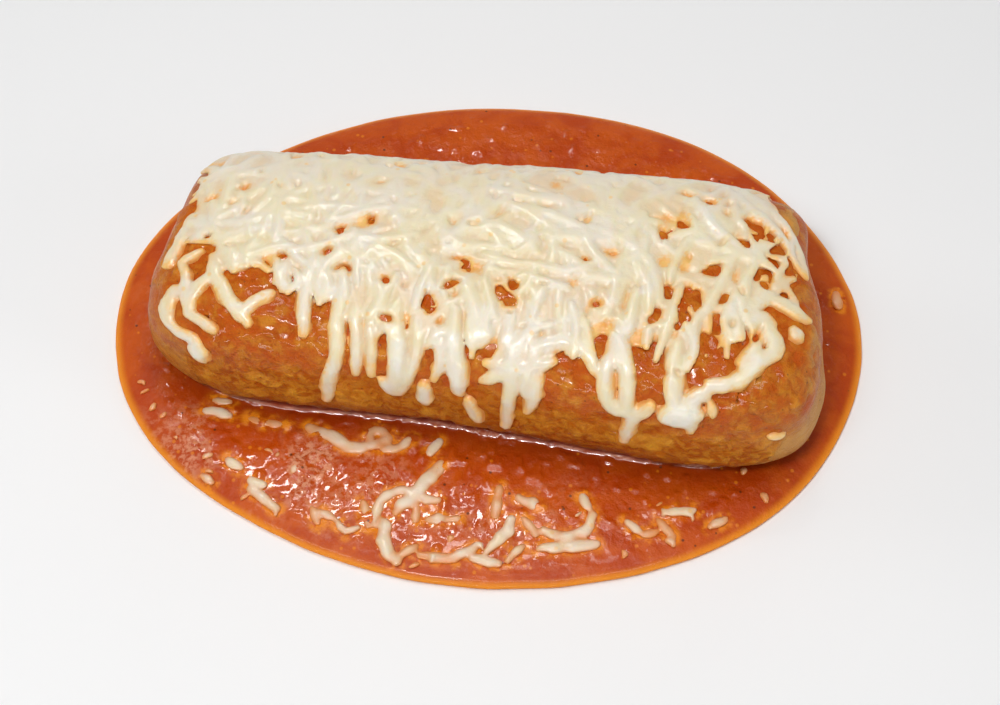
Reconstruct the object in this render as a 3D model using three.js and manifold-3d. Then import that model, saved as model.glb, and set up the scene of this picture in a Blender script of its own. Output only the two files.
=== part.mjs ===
// A smothered burrito: a fat flour tortilla roll with its ends folded in, lying in a shallow pool
// of red sauce under a blanket of melted shredded cheese that drips down its front.
// Millimetres, +Z up. X runs along the roll, and the origin is under the middle of the pool.
import * as THREE from 'three';
import { mergeVertices } from 'three/addons/utils/BufferGeometryUtils.js';
import Module from 'manifold-3d';

const wasm = await Module();
wasm.setup();

// ---- driving dimensions -------------------------------------------------------------------

const GAP = 0.3; // clearance between touching solids

const ROLL_LENGTH = 211;
const ROLL_HALF_WIDTH = 44.1;
const ROLL_HALF_HEIGHT = 28.2;
const ROLL_FLAT = 1; // how much of the round underside is pressed flat
const ROLL_LIFT = 1.3; // film of sauce under the roll, with its gap
const ROLL_CENTRE = [2.3, -6.8]; // from the middle of the pool
const ROLL_TURN = THREE.MathUtils.degToRad(-0.7);
const ROLL_TAPER = 0.063; // the right end is fuller than the left by this share each way
const SECTION_POWER = 3.2; // 2 is an ellipse, more is squarer
const END_POWER = 6.4; // the same for the run-out of the ends
const END_POWER_TILT = 0.9; // the back corners are squarer than the front ones
const BELLY = [0.03, 0.15, 0.5]; // share of swelling, its middle and its spread along the roll
const FRONT_HOLLOW = [5.7, -0.06, 0.6]; // the front is pulled in by this, with middle and spread
const DENT = 0.5; // height of the soft dents all over the roll

// pushes of each end: outward distance, then middle and spread across, middle and spread upward
const END_PUSHES = {
  left: [
    [-2.3, 1.0, 0.4, 0.6, 0.8],
    [-1.8, 0.45, 0.35, 0.0, 9.0],
    [4.4, -0.4, 0.45, 0.0, 0.8],
    [-4.8, -1.0, 0.35, -0.5, 0.8],
  ],
  right: [
    [-2.9, 1.0, 0.4, 0.6, 0.8],
    [-5.8, 0.45, 0.35, 0.0, 9.0],
  ],
};

// flaps of tortilla folded down over the ends. The free edge is given as share across and share
// upward of the half section. The curl is how far it stands out, with its middle and spread across.
const FLAP_THICKNESS = 1.5;
const FLAP_BURIED = 3; // how deep its inner face lies under the end
const FLAP_CURLS = { left: [1.8, -0.3, 0.5], right: [3.2, -0.35, 0.4] };
const FLAP_RUFFLE = 0.05;
const FLAP_TOP = 0.86;
const FLAP_WIDEST = 0.94;
const FLAP_EDGES = {
  left: [[-0.86, -0.5], [-0.5, -0.35], [-0.1, -0.1], [0.35, -0.2], [0.86, -0.55]],
  right: [[-0.86, -0.55], [-0.5, -0.3], [-0.1, -0.02], [0.4, 0.1], [0.86, -0.25]],
};

const SHEET_THICKNESS = 2.1;
const SHEET_BURIED = 1.5; // the sheet reaches this deep before the roll is cut out of it
const SHEET_EDGE = 0.9;
const SHEET_LUMP = 0.45;
const SHEET_ENDS = [-100, 100.5];
const SHEET_RAG = 2; // how far the ends of the sheet wander
const BACK_HANG = 47; // how far the cheese reaches round the back, from the top line
const BACK_WAVE = 6;
// lower edge of the blanket on the front: along the roll, then round it from the top line
const FRONT_EDGE = [
  [-103, -4], [-95, 0], [-85, 14], [-76, 11], [-66, 19], [-56, 21], [-41, 29], [-24, 34], [-9, 37],
  [8, 36], [22, 31], [38, 30], [53, 30], [69, 31], [83, 17], [93, 3], [102, -11],
];

// strands that hang from the blanket: width, then bends as [along the roll, round from the top]
const DRIPS = [
  [3.4, [-99, -8], [-100, 4], [-101, 12], [-102, 17]],
  [3.0, [-92, 9], [-94, 11], [-97, 14]],
  [3.4, [-97, 15], [-95, 20], [-94, 28], [-92, 35]],
  [4.2, [-88, 11], [-87, 18], [-90, 23], [-92, 29], [-92, 35]],
  [4.2, [-92, 35], [-87, 37], [-84, 39]],
  [4.4, [-97, 26], [-99, 32], [-99, 40], [-95, 43], [-90, 44], [-88, 49]],
  [6.4, [-90, 46], [-88, 52]],
  [5.2, [-87, 16], [-82, 25], [-78, 30], [-73, 35]],
  [4.6, [-67, 24], [-71, 27], [-75, 31]],
  [3.4, [-80, 16], [-75, 11]],
  [4.8, [-55, 5], [-56, 18], [-56, 27], [-55, 37]],
  [5.0, [-45, 18], [-45, 33], [-44, 42], [-46, 51], [-48, 66]],
  [4.2, [-40, 26], [-38, 38], [-38, 49]],
  [3.6, [-35, 30], [-33, 41], [-33, 49]],
  [6.2, [-26, 31], [-25, 40], [-25, 48], [-26, 55]],
  [4.2, [-20, 29], [-19, 40], [-21, 49], [-24, 57]],
  [3.4, [-30, 51], [-26, 58]],
  [4.2, [-14, 32], [-11, 41], [-13, 48]],
  [5.4, [-16, 52], [-16, 61]],
  [6.4, [-9, 31], [-6, 42], [-5, 52]],
  [5.8, [-7, 11], [-3, 22], [1, 33]],
  [4.6, [-2, 56], [1, 68]],
  [4.8, [9, 28], [11, 40], [11, 51], [10, 68]],
  [4.0, [3, 40], [9, 40], [16, 39], [24, 36]],
  [4.0, [2, 46], [8, 43], [13, 42]],
  [4.2, [16, 39], [16, 48]],
  [4.2, [20, 40], [19, 48], [17, 56]],
  [5.2, [25, 29], [20, 32], [17, 36]],
  [4.6, [19, 32], [26, 29], [32, 30], [37, 37]],
  [5.0, [42, 28], [40, 37], [41, 44], [44, 48], [49, 48]],
  [5.4, [44, 27], [47, 38], [48, 48]],
  [6.0, [61, 25], [61, 34], [62, 44]],
  [9.0, [61, 47], [68, 46]],
  [4.4, [68, 52], [68, 43]],
  [5.0, [72, 37], [68, 40], [65, 44]],
  [4.8, [55, 45], [50, 51], [48, 63]],
  [5.4, [82, 9], [88, 16], [91, 23], [86, 28], [80, 34], [72, 36]],
  [4.0, [84, 13], [85, 22], [81, 28]],
  [4.8, [86, 3], [94, 7], [100, 10]],
  [4.0, [73, -43], [84, -31], [96, -25], [101, -19], [101, -10]],
  [3.4, [61, -43], [71, -38], [82, -27], [94, -19], [99, -11]],
  [3.0, [54, -37], [64, -32], [72, -27]],
];

const DRIP_LIFT = 0.8; // height of a drip's middle over the tortilla
const DRIP_FLATNESS = 0.7; // height as a share of the width

const RIDGE_COUNT = 34; // shreds that still show on the blanket
const RIDGE_WIDTH = 3.6;
const RIDGE_LENGTH = [12, 26];
const RIDGE_BOW = 2.5;
const RIDGE_SUNK = 0.7; // depth of a shred's middle under the top of the sheet
const RIDGE_MARGIN = 8; // kept free at each end of the sheet
const RIDGE_SEED = 5;

const POOL_HALF_LENGTH = 127.2;
const POOL_HALF_WIDTH = 95.5;
const POOL_TURN = THREE.MathUtils.degToRad(5.05);
const POOL_EGG = 0.0138; // share by which the outline bulges in three places
const POOL_WAVE = 0.003; // the same in seven places
const POOL_DEPTH = 4.6;
const POOL_EDGE_DEPTH = 1.1;
const POOL_EDGE_INSET = 0.8;
const POOL_EDGE_POWER = 14; // how late the top rounds down to the edge
const POOL_LUMP = 0.3;
const SHRED_FLATNESS = 0.75;

// loose shreds in the sauce: width, then bends as [x, y] from the middle of the pool
const LOOSE_SHREDS = [
  [2.8, [-73, -46], [-69, -47], [-61, -47]],
  [2.4, [-86, -41], [-81, -41]],
  [2.8, [-88, -45], [-80, -46]],
  [3.4, [-77, -62], [-73, -65]],
  [3.2, [-84, -69], [-81, -71]],
  [3.2, [-68, -69], [-64, -70]],
  [3.2, [-68, -72], [-64, -74], [-58, -78]],
  [2.6, [-47, -76], [-44, -81]],
  [2.8, [-44, -77], [-39, -79]],
  [3.8, [-53, -47], [-44, -50], [-39, -53], [-31, -51], [-27, -49]],
  [2.8, [-32, -50], [-33, -47], [-30, -45], [-26, -47]],
  [3.0, [-27, -52], [-22, -50], [-19, -47]],
  [3.2, [-10, -47], [-12, -51]],
  [4.4, [-8, -55], [-13, -64], [-20, -74]],
  [3.2, [-26, -79], [-26, -74], [-24, -69], [-19, -66], [-12, -68], [-7, -68]],
  [4.2, [-23, -78], [-22, -85], [-17, -91]],
  [2.8, [-31, -72], [-28, -80]],
  [2.6, [-38, -80], [-35, -83], [-31, -81]],
  [2.6, [-14, -70], [-13, -76]],
  [3.2, [-9, -75], [0, -74]],
  [2.8, [-16, -89], [-12, -85]],
  [3.0, [-10, -88], [1, -88]],
  [2.8, [1, -87], [7, -83]],
  [3.2, [12, -61], [12, -71]],
  [3.6, [19, -64], [25, -66]],
  [2.8, [39, -61], [42, -65]],
  [3.6, [17, -72], [16, -77], [11, -84]],
  [2.8, [21, -71], [26, -76]],
  [3.2, [28, -74], [34, -76], [41, -73], [43, -67]],
  [3.2, [27, -81], [37, -79], [45, -77]],
  [2.8, [7, -87], [15, -88]],
  [2.6, [18, -86], [22, -81]],
  [2.6, [54, -68], [58, -71]],
  [2.6, [60, -72], [64, -70]],
  [2.8, [64, -66], [69, -71]],
  [3.0, [67, -63], [75, -61]],
  [2.8, [81, -66], [85, -63]],
  [2.8, [117, 28], [118, 23]],
];

// ---- how finely the solids are faceted ----------------------------------------------------

const ROLL_SIDES = 44;
const BODY_RINGS = 8; // each way from the middle
const BODY_REACH = 0.86; // share of the half length where the run-out of an end starts
const END_RINGS = [0.95, 0.84, 0.65, 0.42, 0.2]; // share of the section at that reach
const SHEET_STATIONS = 44;
const SHEET_COLUMNS = 14;
const POOL_SIDES = 80;
const POOL_RINGS = [0.4, 0.62, 0.78, 0.88, 0.95, 0.985, 1];
const FLAP_COLUMNS = 14;
const FLAP_ROWS = 5;
const DRIP_SIDES = 5;
const SHRED_SIDES = 5;
const STRAND_STEP = 7;
const STRAND_END_SHARE = 0.7; // width left at the last ring of a strand
const STRAND_NOSE = 0.3; // rounded end beyond that ring, as a share of the width
const PLAIN_TOLERANCE = 0.05; // slivers flatter than this are merged into their neighbours
const CHEESE_TOLERANCE = 0.1;

// ---- small maths --------------------------------------------------------------------------

function signedPower(value, power) {
  return Math.sign(value) * Math.abs(value) ** power;
}

function hump(value, middle, spread) {
  return Math.exp(-(((value - middle) / spread) ** 2));
}

function ease(low, high, value) {
  const share = THREE.MathUtils.clamp((value - low) / (high - low), 0, 1);
  return share * share * (3 - 2 * share);
}

function seededRandom(seed) {
  let state = seed;
  return () => {
    state = (state + 0x6d2b79f5) | 0;
    let mixed = Math.imul(state ^ (state >>> 15), 1 | state);
    mixed = (mixed + Math.imul(mixed ^ (mixed >>> 7), 61 | mixed)) ^ mixed;
    return ((mixed ^ (mixed >>> 14)) >>> 0) / 4294967296;
  };
}

function interpolate(table, value) {
  const last = table.length - 1;
  for (let i = 0; i < last; i += 1) {
    const [x0, y0] = table[i];
    const [x1, y1] = table[i + 1];
    if (value <= x1 || i === last - 1) {
      return y0 + ((y1 - y0) * (value - x0)) / (x1 - x0);
    }
  }
  return table[last][1];
}

// ---- the pool's outline -------------------------------------------------------------------

function outlineAt(angle, share) {
  const egg = 1 - POOL_EGG * Math.cos(3 * angle) + POOL_WAVE * Math.sin(7 * angle + 1);
  const x = POOL_HALF_LENGTH * Math.cos(angle) * egg * share;
  const y = POOL_HALF_WIDTH * Math.sin(angle) * egg * share;
  return new THREE.Vector2(x, y).rotateAround(new THREE.Vector2(), POOL_TURN);
}

function outlineMiddle() {
  const box = new THREE.Box2();
  for (let i = 0; i < POOL_SIDES; i += 1) {
    box.expandByPoint(outlineAt((i / POOL_SIDES) * 2 * Math.PI, 1));
  }
  return box.getCenter(new THREE.Vector2());
}

const POOL_MIDDLE = outlineMiddle();

// ---- the roll's surface -------------------------------------------------------------------
// reach is -1 to 1 along the roll, section is the share of the full section that is left there,
// and angle runs round it from the top line, towards the back when positive.

function endPower(angle) {
  return END_POWER + END_POWER_TILT * Math.sin(angle);
}

function sectionLeft(reach, angle) {
  const power = endPower(angle);
  return Math.max(0, 1 - Math.abs(reach) ** power) ** (1 / power);
}

function endPush(reach, across, upward) {
  const pushes = reach < 0 ? END_PUSHES.left : END_PUSHES.right;
  let push = 0;
  for (const [distance, acrossMiddle, acrossSpread, upMiddle, upSpread] of pushes) {
    push += distance * hump(across, acrossMiddle, acrossSpread) * hump(upward, upMiddle, upSpread);
  }
  return push * ease(0.8, 1, Math.abs(reach)) * Math.sign(reach);
}

function placeOnRoll(reach, across, upward) {
  const [belly, bellyMiddle, bellySpread] = BELLY;
  const [hollow, hollowMiddle, hollowSpread] = FRONT_HOLLOW;
  const growth = 1 + ROLL_TAPER * reach;
  const swell = growth * (1 + belly * hump(reach, bellyMiddle, bellySpread));
  const pull = hollow * hump(reach, hollowMiddle, hollowSpread) * ease(0.2, -0.9, across);
  const x = (ROLL_LENGTH / 2) * reach + endPush(reach, across, upward);
  const y = ROLL_HALF_WIDTH * swell * across + pull + x * Math.tan(ROLL_TURN);
  const height = ROLL_HALF_HEIGHT * growth * (1 + upward) - ROLL_FLAT;
  const dent = DENT * Math.sin(x / 13 + 0.6) * Math.sin(y / 17 + x / 31) * ease(0, 9, height);
  return new THREE.Vector3(
    x + ROLL_CENTRE[0],
    y + ROLL_CENTRE[1],
    ROLL_LIFT + Math.max(0, height + dent),
  );
}

function rollPoint(reach, section, angle) {
  const across = section * signedPower(Math.sin(angle), 2 / SECTION_POWER);
  const upward = section * signedPower(Math.cos(angle), 2 / SECTION_POWER);
  return placeOnRoll(reach, across, upward);
}

// angle of the section at each distance round it from the top line
const GIRTH_TABLE = (() => {
  const steps = 720;
  const table = [[0, 0]];
  let length = 0;
  let before = new THREE.Vector2(0, ROLL_HALF_HEIGHT);
  for (let i = 1; i <= steps; i += 1) {
    const angle = (i / steps) * Math.PI;
    const here = new THREE.Vector2(
      ROLL_HALF_WIDTH * signedPower(Math.sin(angle), 2 / SECTION_POWER),
      ROLL_HALF_HEIGHT * signedPower(Math.cos(angle), 2 / SECTION_POWER),
    );
    length += here.distanceTo(before);
    table.push([length, angle]);
    before = here;
  }
  return table;
})();

// a point by its distance along the roll and its distance round it, positive down the front
function draped(along, round) {
  const angle = -Math.sign(round) * interpolate(GIRTH_TABLE, Math.abs(round));
  const reach = along / (ROLL_LENGTH / 2);
  return rollPoint(reach, sectionLeft(reach, angle), angle);
}

function drapedNormal(along, round) {
  const step = 0.5;
  const lengthways = draped(along + step, round).sub(draped(along - step, round));
  const sideways = draped(along, round + step).sub(draped(along, round - step));
  return sideways.cross(lengthways).normalize();
}

// ---- closed meshes ------------------------------------------------------------------------

function geometryOf(points, triangles) {
  const geometry = new THREE.BufferGeometry();
  geometry.setAttribute('position', new THREE.Float32BufferAttribute(points.flat(), 3));
  geometry.setIndex(triangles.flat());
  return geometry;
}

// rings of points between two poles, wound so that faces point out when the rings turn
// anticlockwise seen from the last pole
function ringedGeometry(firstPole, rings, lastPole) {
  const sides = rings[0].length;
  const points = [firstPole, ...rings.flat(), lastPole].map((point) => point.toArray());
  const triangles = [];
  const last = points.length - 1;
  const lastRing = last - sides;
  for (let j = 0; j < sides; j += 1) {
    const next = (j + 1) % sides;
    triangles.push([0, 1 + next, 1 + j]);
    for (let i = 0; i < rings.length - 1; i += 1) {
      const low = 1 + i * sides;
      const high = low + sides;
      triangles.push([low + j, low + next, high + next]);
      triangles.push([low + j, high + next, high + j]);
    }
    triangles.push([lastRing + j, lastRing + next, last]);
  }
  return geometryOf(points, triangles);
}

// two faces of (columns + 1) x (rows + 1) points, the outer one first, closed round their edges
function slabGeometry(points, columns, rows, flipped) {
  const layer = (columns + 1) * (rows + 1);
  const at = (i, j, inside) => (inside ? layer : 0) + i * (rows + 1) + j;
  const triangles = [];
  const addQuad = (a, b, c, d) => triangles.push([a, b, c], [a, c, d]);
  for (let i = 0; i < columns; i += 1) {
    for (let j = 0; j < rows; j += 1) {
      addQuad(at(i, j), at(i + 1, j), at(i + 1, j + 1), at(i, j + 1));
      addQuad(at(i, j, 1), at(i, j + 1, 1), at(i + 1, j + 1, 1), at(i + 1, j, 1));
    }
    addQuad(at(i, 0), at(i, 0, 1), at(i + 1, 0, 1), at(i + 1, 0));
    addQuad(at(i, rows), at(i + 1, rows), at(i + 1, rows, 1), at(i, rows, 1));
  }
  for (let j = 0; j < rows; j += 1) {
    addQuad(at(0, j), at(0, j + 1), at(0, j + 1, 1), at(0, j, 1));
    addQuad(at(columns, j), at(columns, j, 1), at(columns, j + 1, 1), at(columns, j + 1));
  }
  if (flipped) {
    triangles.forEach((triangle) => triangle.reverse());
  }
  return geometryOf(points, triangles);
}

function solidOf(geometry) {
  const bare = geometry.clone();
  bare.deleteAttribute('normal');
  bare.deleteAttribute('uv');
  const merged = mergeVertices(bare, 1e-4);
  return new wasm.Manifold(new wasm.Mesh({
    numProp: 3,
    vertProperties: merged.attributes.position.array,
    triVerts: new Uint32Array(merged.index.array),
  }));
}

// the biggest body of a solid, without scraps that touch nothing and with sealed hollows filled
function mainBody(solid) {
  const bodies = solid.decompose();
  bodies.sort((a, b) => b.volume() - a.volume());
  return bodies[0];
}

function meshOf(name, solid, tolerance, look) {
  const body = mainBody(solid.asOriginal().simplify(tolerance));
  const { numProp, vertProperties, triVerts } = body.getMesh();
  const geometry = new THREE.BufferGeometry();
  geometry.setAttribute('position', new THREE.BufferAttribute(vertProperties, numProp));
  geometry.setIndex(new THREE.BufferAttribute(triVerts, 1));
  geometry.computeVertexNormals();
  const mesh = new THREE.Mesh(geometry, new THREE.MeshStandardMaterial(look));
  mesh.name = name;
  return mesh;
}

// ---- strands ------------------------------------------------------------------------------
// A strand is a rod of oval section with rounded ends. Its path gives points and up directions.

function strandSolid(path, width, height, sides) {
  const tangents = path.map((_, i) => {
    const ahead = path[Math.min(i + 1, path.length - 1)].point;
    const behind = path[Math.max(i - 1, 0)].point;
    return ahead.clone().sub(behind).normalize();
  });
  const rings = path.map(({ point, up }, i) => {
    const sideways = up.clone().cross(tangents[i]).normalize();
    const atEnd = i === 0 || i === path.length - 1;
    const scale = atEnd ? STRAND_END_SHARE : 1;
    return Array.from({ length: sides }, (_, j) => {
      const turn = ((j + 0.5) / sides) * 2 * Math.PI;
      return point.clone()
        .addScaledVector(sideways, (Math.cos(turn) * width * scale) / 2)
        .addScaledVector(up, (Math.sin(turn) * height * scale) / 2);
    });
  });
  const nose = width * STRAND_NOSE;
  const first = path[0].point.clone().addScaledVector(tangents[0], -nose);
  const end = path.length - 1;
  const last = path[end].point.clone().addScaledVector(tangents[end], nose);
  return solidOf(ringedGeometry(first, rings, last));
}

function smoothBends(bends) {
  const curve = new THREE.CatmullRomCurve3(bends.map(([a, b]) => new THREE.Vector3(a, b, 0)));
  const parts = Math.max(2, Math.round(curve.getLength() / STRAND_STEP));
  return curve.getSpacedPoints(parts);
}

function drapedStrand(width, bends, lift, sides) {
  const path = smoothBends(bends).map(({ x: along, y: round }) => {
    const up = drapedNormal(along, round);
    return { point: draped(along, round).addScaledVector(up, lift), up };
  });
  return strandSolid(path, width, width * DRIP_FLATNESS, sides);
}

// ---- tortilla roll ------------------------------------------------------------------------

function rollStations() {
  const stations = [];
  for (let i = -BODY_RINGS; i <= BODY_RINGS; i += 1) {
    stations.push({ reach: (BODY_REACH * i) / BODY_RINGS });
  }
  const fullToSmall = END_RINGS.map((section) => ({ section, side: 1 }));
  const smallToFull = END_RINGS.map((section) => ({ section, side: -1 })).reverse();
  return [...smallToFull, ...stations, ...fullToSmall];
}

function rollGeometry() {
  const rings = rollStations().map(({ reach, section, side }) => (
    Array.from({ length: ROLL_SIDES }, (_, j) => {
      const angle = -(j / ROLL_SIDES) * 2 * Math.PI;
      if (section === undefined) {
        return rollPoint(reach, sectionLeft(reach, angle), angle);
      }
      const left = section * sectionLeft(BODY_REACH, angle);
      const power = endPower(angle);
      return rollPoint(side * (1 - left ** power) ** (1 / power), left, angle);
    })
  ));
  return ringedGeometry(placeOnRoll(-1, 0, 0), rings, placeOnRoll(1, 0, 0));
}

function grownGeometry(geometry, distance) {
  const grown = geometry.clone();
  grown.computeVertexNormals();
  const { position, normal } = grown.attributes;
  for (let i = 0; i < position.count; i += 1) {
    position.setXYZ(
      i,
      position.getX(i) + normal.getX(i) * distance,
      position.getY(i) + normal.getY(i) * distance,
      position.getZ(i) + normal.getZ(i) * distance,
    );
  }
  return grown;
}

// a point on an end, by its place in the section, kept inside the widest share that an end has
function onEnd(side, across, upward, outward) {
  const power = SECTION_POWER;
  const section = (Math.abs(across) ** power + Math.abs(upward) ** power) ** (1 / power);
  const kept = Math.min(section, FLAP_WIDEST);
  const run = endPower(Math.atan2(across, upward));
  const reach = side * (1 - kept ** run) ** (1 / run);
  const point = placeOnRoll(reach, (across * kept) / section, (upward * kept) / section);
  point.x += side * outward;
  return point;
}

// a flap is a curved slab: its outer face lies proud of the end, and its inner one is buried
function flapGeometry(side, edge, [curl, curlMiddle, curlSpread]) {
  const [[first], last] = [edge[0], edge[edge.length - 1][0]];
  const points = [];
  for (const inside of [false, true]) {
    for (let i = 0; i <= FLAP_COLUMNS; i += 1) {
      const across = first + ((last - first) * i) / FLAP_COLUMNS;
      const free = interpolate(edge, across) + FLAP_RUFFLE * Math.sin(i * 1.9);
      const lip = curl * hump(across, curlMiddle, curlSpread);
      for (let j = 0; j <= FLAP_ROWS; j += 1) {
        const share = j / FLAP_ROWS;
        const upward = free + (FLAP_TOP - free) * share;
        const outward = FLAP_THICKNESS * ease(1, 0.6, share) + lip * ease(0.45, 0, share);
        points.push(onEnd(side, across, upward, inside ? -FLAP_BURIED : outward).toArray());
      }
    }
  }
  return slabGeometry(points, FLAP_COLUMNS, FLAP_ROWS, side < 0);
}

const rollShapes = [
  rollGeometry(),
  flapGeometry(-1, FLAP_EDGES.left, FLAP_CURLS.left),
  flapGeometry(1, FLAP_EDGES.right, FLAP_CURLS.right),
];

function joined(geometries) {
  return geometries.map(solidOf).reduce((sum, solid) => sum.add(solid));
}

const rollSolid = mainBody(joined(rollShapes));
const rollClearance = mainBody(joined(rollShapes.map((shape) => grownGeometry(shape, GAP))));

// ---- cheese blanket -----------------------------------------------------------------------

function backEdge(along) {
  return -(BACK_HANG + BACK_WAVE * Math.sin(along / 9) * Math.sin(along / 23 + 1));
}

function sheetHeight(along, round, columnShare, stationShare) {
  const fromEdge = Math.min(columnShare, 1 - columnShare, stationShare * 2, 2 - stationShare * 2);
  const body = SHEET_EDGE + (SHEET_THICKNESS - SHEET_EDGE) * ease(0, 0.12, fromEdge);
  return body + SHEET_LUMP * Math.sin(along / 5.3 + round / 7) * Math.sin(round / 6.1 - along / 19);
}

// the sheet as rings across the roll: the top from back to front, then the hidden underside
function sheetRings() {
  const [start, end] = SHEET_ENDS;
  const rings = [];
  for (let i = 0; i <= SHEET_STATIONS; i += 1) {
    const station = i / SHEET_STATIONS;
    const even = start + (end - start) * station;
    const back = backEdge(even);
    const front = interpolate(FRONT_EDGE, even);
    const ragged = SHEET_RAG * (ease(0.15, 0, station) + ease(0.85, 1, station));
    const top = [];
    const under = [];
    for (let j = 0; j <= SHEET_COLUMNS; j += 1) {
      const share = j / SHEET_COLUMNS;
      const round = back + (front - back) * share;
      const along = even + ragged * Math.sin(round / 5.1);
      const surface = draped(along, round);
      const up = drapedNormal(along, round);
      top.push(surface.clone().addScaledVector(up, sheetHeight(along, round, share, station)));
      under.push(surface.clone().addScaledVector(up, -SHEET_BURIED));
    }
    rings.push([...top, ...under.reverse()]);
  }
  return rings;
}

// a sheet is bent round the roll, so each end is closed by a strip between its top and underside
function sheetSolid() {
  const rings = sheetRings();
  const sides = rings[0].length;
  const points = rings.flat().map((point) => point.toArray());
  const triangles = [];
  for (let i = 0; i < rings.length - 1; i += 1) {
    for (let j = 0; j < sides; j += 1) {
      const next = (j + 1) % sides;
      const low = i * sides;
      const high = low + sides;
      triangles.push([low + j, low + next, high + next]);
      triangles.push([low + j, high + next, high + j]);
    }
  }
  const lastRing = (rings.length - 1) * sides;
  for (let j = 0; j < SHEET_COLUMNS; j += 1) {
    const mate = sides - 1 - j;
    triangles.push([j, mate, j + 1]);
    triangles.push([j + 1, mate, mate - 1]);
    triangles.push([lastRing + j, lastRing + j + 1, lastRing + mate]);
    triangles.push([lastRing + j + 1, lastRing + mate - 1, lastRing + mate]);
  }
  return solidOf(geometryOf(points, triangles));
}

function ridgeSolids() {
  const random = seededRandom(RIDGE_SEED);
  const between = (low, high) => low + (high - low) * random();
  const start = SHEET_ENDS[0] + RIDGE_MARGIN;
  const end = SHEET_ENDS[1] - RIDGE_MARGIN;
  return Array.from({ length: RIDGE_COUNT }, (_, i) => {
    const share = (i + random()) / RIDGE_COUNT;
    const along = start + share * (end - start);
    const front = interpolate(FRONT_EDGE, along) - 4;
    const round = between(4 - BACK_HANG, front);
    const turn = between(0, Math.PI);
    const half = between(...RIDGE_LENGTH) / 2;
    const bow = between(-RIDGE_BOW, RIDGE_BOW);
    const reachAlong = half * Math.cos(turn);
    const reachRound = half * Math.sin(turn);
    const bends = [-1, 0, 1].map((way) => [
      THREE.MathUtils.clamp(along + way * reachAlong + (1 - way * way) * bow, start, end),
      THREE.MathUtils.clamp(round + way * reachRound, -BACK_HANG, front + 2),
    ]);
    return drapedStrand(RIDGE_WIDTH, bends, SHEET_THICKNESS - RIDGE_SUNK, SHRED_SIDES);
  });
}

function blanketSolid() {
  const drips = DRIPS.map(([width, ...bends]) => (
    drapedStrand(width, bends, DRIP_LIFT, DRIP_SIDES)
  ));
  const whole = [...drips, ...ridgeSolids()].reduce((sum, strand) => sum.add(strand), sheetSolid());
  return whole.subtract(rollClearance);
}

// ---- sauce pool ---------------------------------------------------------------------------

function poolTop(x, y, share) {
  const body = POOL_EDGE_DEPTH + (POOL_DEPTH - POOL_EDGE_DEPTH) * Math.sqrt(1 - share ** POOL_EDGE_POWER);
  const calm = 1 - ease(0.8, 1, share);
  return body + POOL_LUMP * calm * Math.sin(x / 5.5 + y / 11) * Math.sin(y / 4.7 - x / 13);
}

function poolRing(share, height) {
  return Array.from({ length: POOL_SIDES }, (_, j) => {
    const { x, y } = outlineAt((j / POOL_SIDES) * 2 * Math.PI, share).sub(POOL_MIDDLE);
    return new THREE.Vector3(x, y, height ?? poolTop(x, y, share));
  });
}

function poolSolid() {
  const floorShare = 1 - POOL_EDGE_INSET / POOL_HALF_WIDTH;
  const rings = [
    poolRing(floorShare, 0),
    ...[...POOL_RINGS].reverse().map((share) => poolRing(share)),
  ];
  const middle = new THREE.Vector3(-POOL_MIDDLE.x, -POOL_MIDDLE.y, 0);
  const top = middle.clone().setZ(POOL_DEPTH);
  return solidOf(ringedGeometry(middle, rings, top));
}

function looseShred([width, ...bends]) {
  const up = new THREE.Vector3(0, 0, 1);
  const path = smoothBends(bends).map(({ x, y }) => ({
    point: new THREE.Vector3(x, y, POOL_DEPTH),
    up,
  }));
  return strandSolid(path, width, width * SHRED_FLATNESS, SHRED_SIDES);
}

function sauceSolid() {
  const withShreds = LOOSE_SHREDS.reduce((sum, shred) => sum.add(looseShred(shred)), poolSolid());
  return withShreds.subtract(rollClearance);
}

// ---- the burrito --------------------------------------------------------------------------

const TORTILLA = { color: 0xc8791f, roughness: 0.5, metalness: 0 };
const CHEESE = { color: 0xefe3c2, roughness: 0.35, metalness: 0 };
const SAUCE = { color: 0xb03c0c, roughness: 0.25, metalness: 0 };

const burrito = new THREE.Group();
burrito.add(meshOf('tortilla_roll', rollSolid, PLAIN_TOLERANCE, TORTILLA));
burrito.add(meshOf('cheese_blanket', blanketSolid(), CHEESE_TOLERANCE, CHEESE));
burrito.add(meshOf('sauce_pool', sauceSolid(), PLAIN_TOLERANCE, SAUCE));

export default burrito;
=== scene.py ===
"""A smothered burrito: a flour tortilla roll under melted cheese, in a pool of red sauce."""

import math
from itertools import product

import bpy
import numpy as np
import openvdb as vdb
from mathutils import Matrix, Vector


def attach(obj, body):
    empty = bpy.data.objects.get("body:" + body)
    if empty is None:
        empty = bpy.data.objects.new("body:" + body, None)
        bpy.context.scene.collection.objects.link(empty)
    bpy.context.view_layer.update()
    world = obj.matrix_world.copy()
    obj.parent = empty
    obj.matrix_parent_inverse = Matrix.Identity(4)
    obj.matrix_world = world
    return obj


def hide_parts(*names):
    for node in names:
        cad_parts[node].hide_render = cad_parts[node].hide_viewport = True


bl_info = {
    "name": "Smothered burrito",
    "version": (1, 0, 0),
    "blender": (4, 5, 0),
    "location": "View3D > Sidebar > Burrito",
    "description": "Dresses a burrito in soaked tortilla, melted cheese and red sauce",
    "category": "Add Mesh",
}

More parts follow.
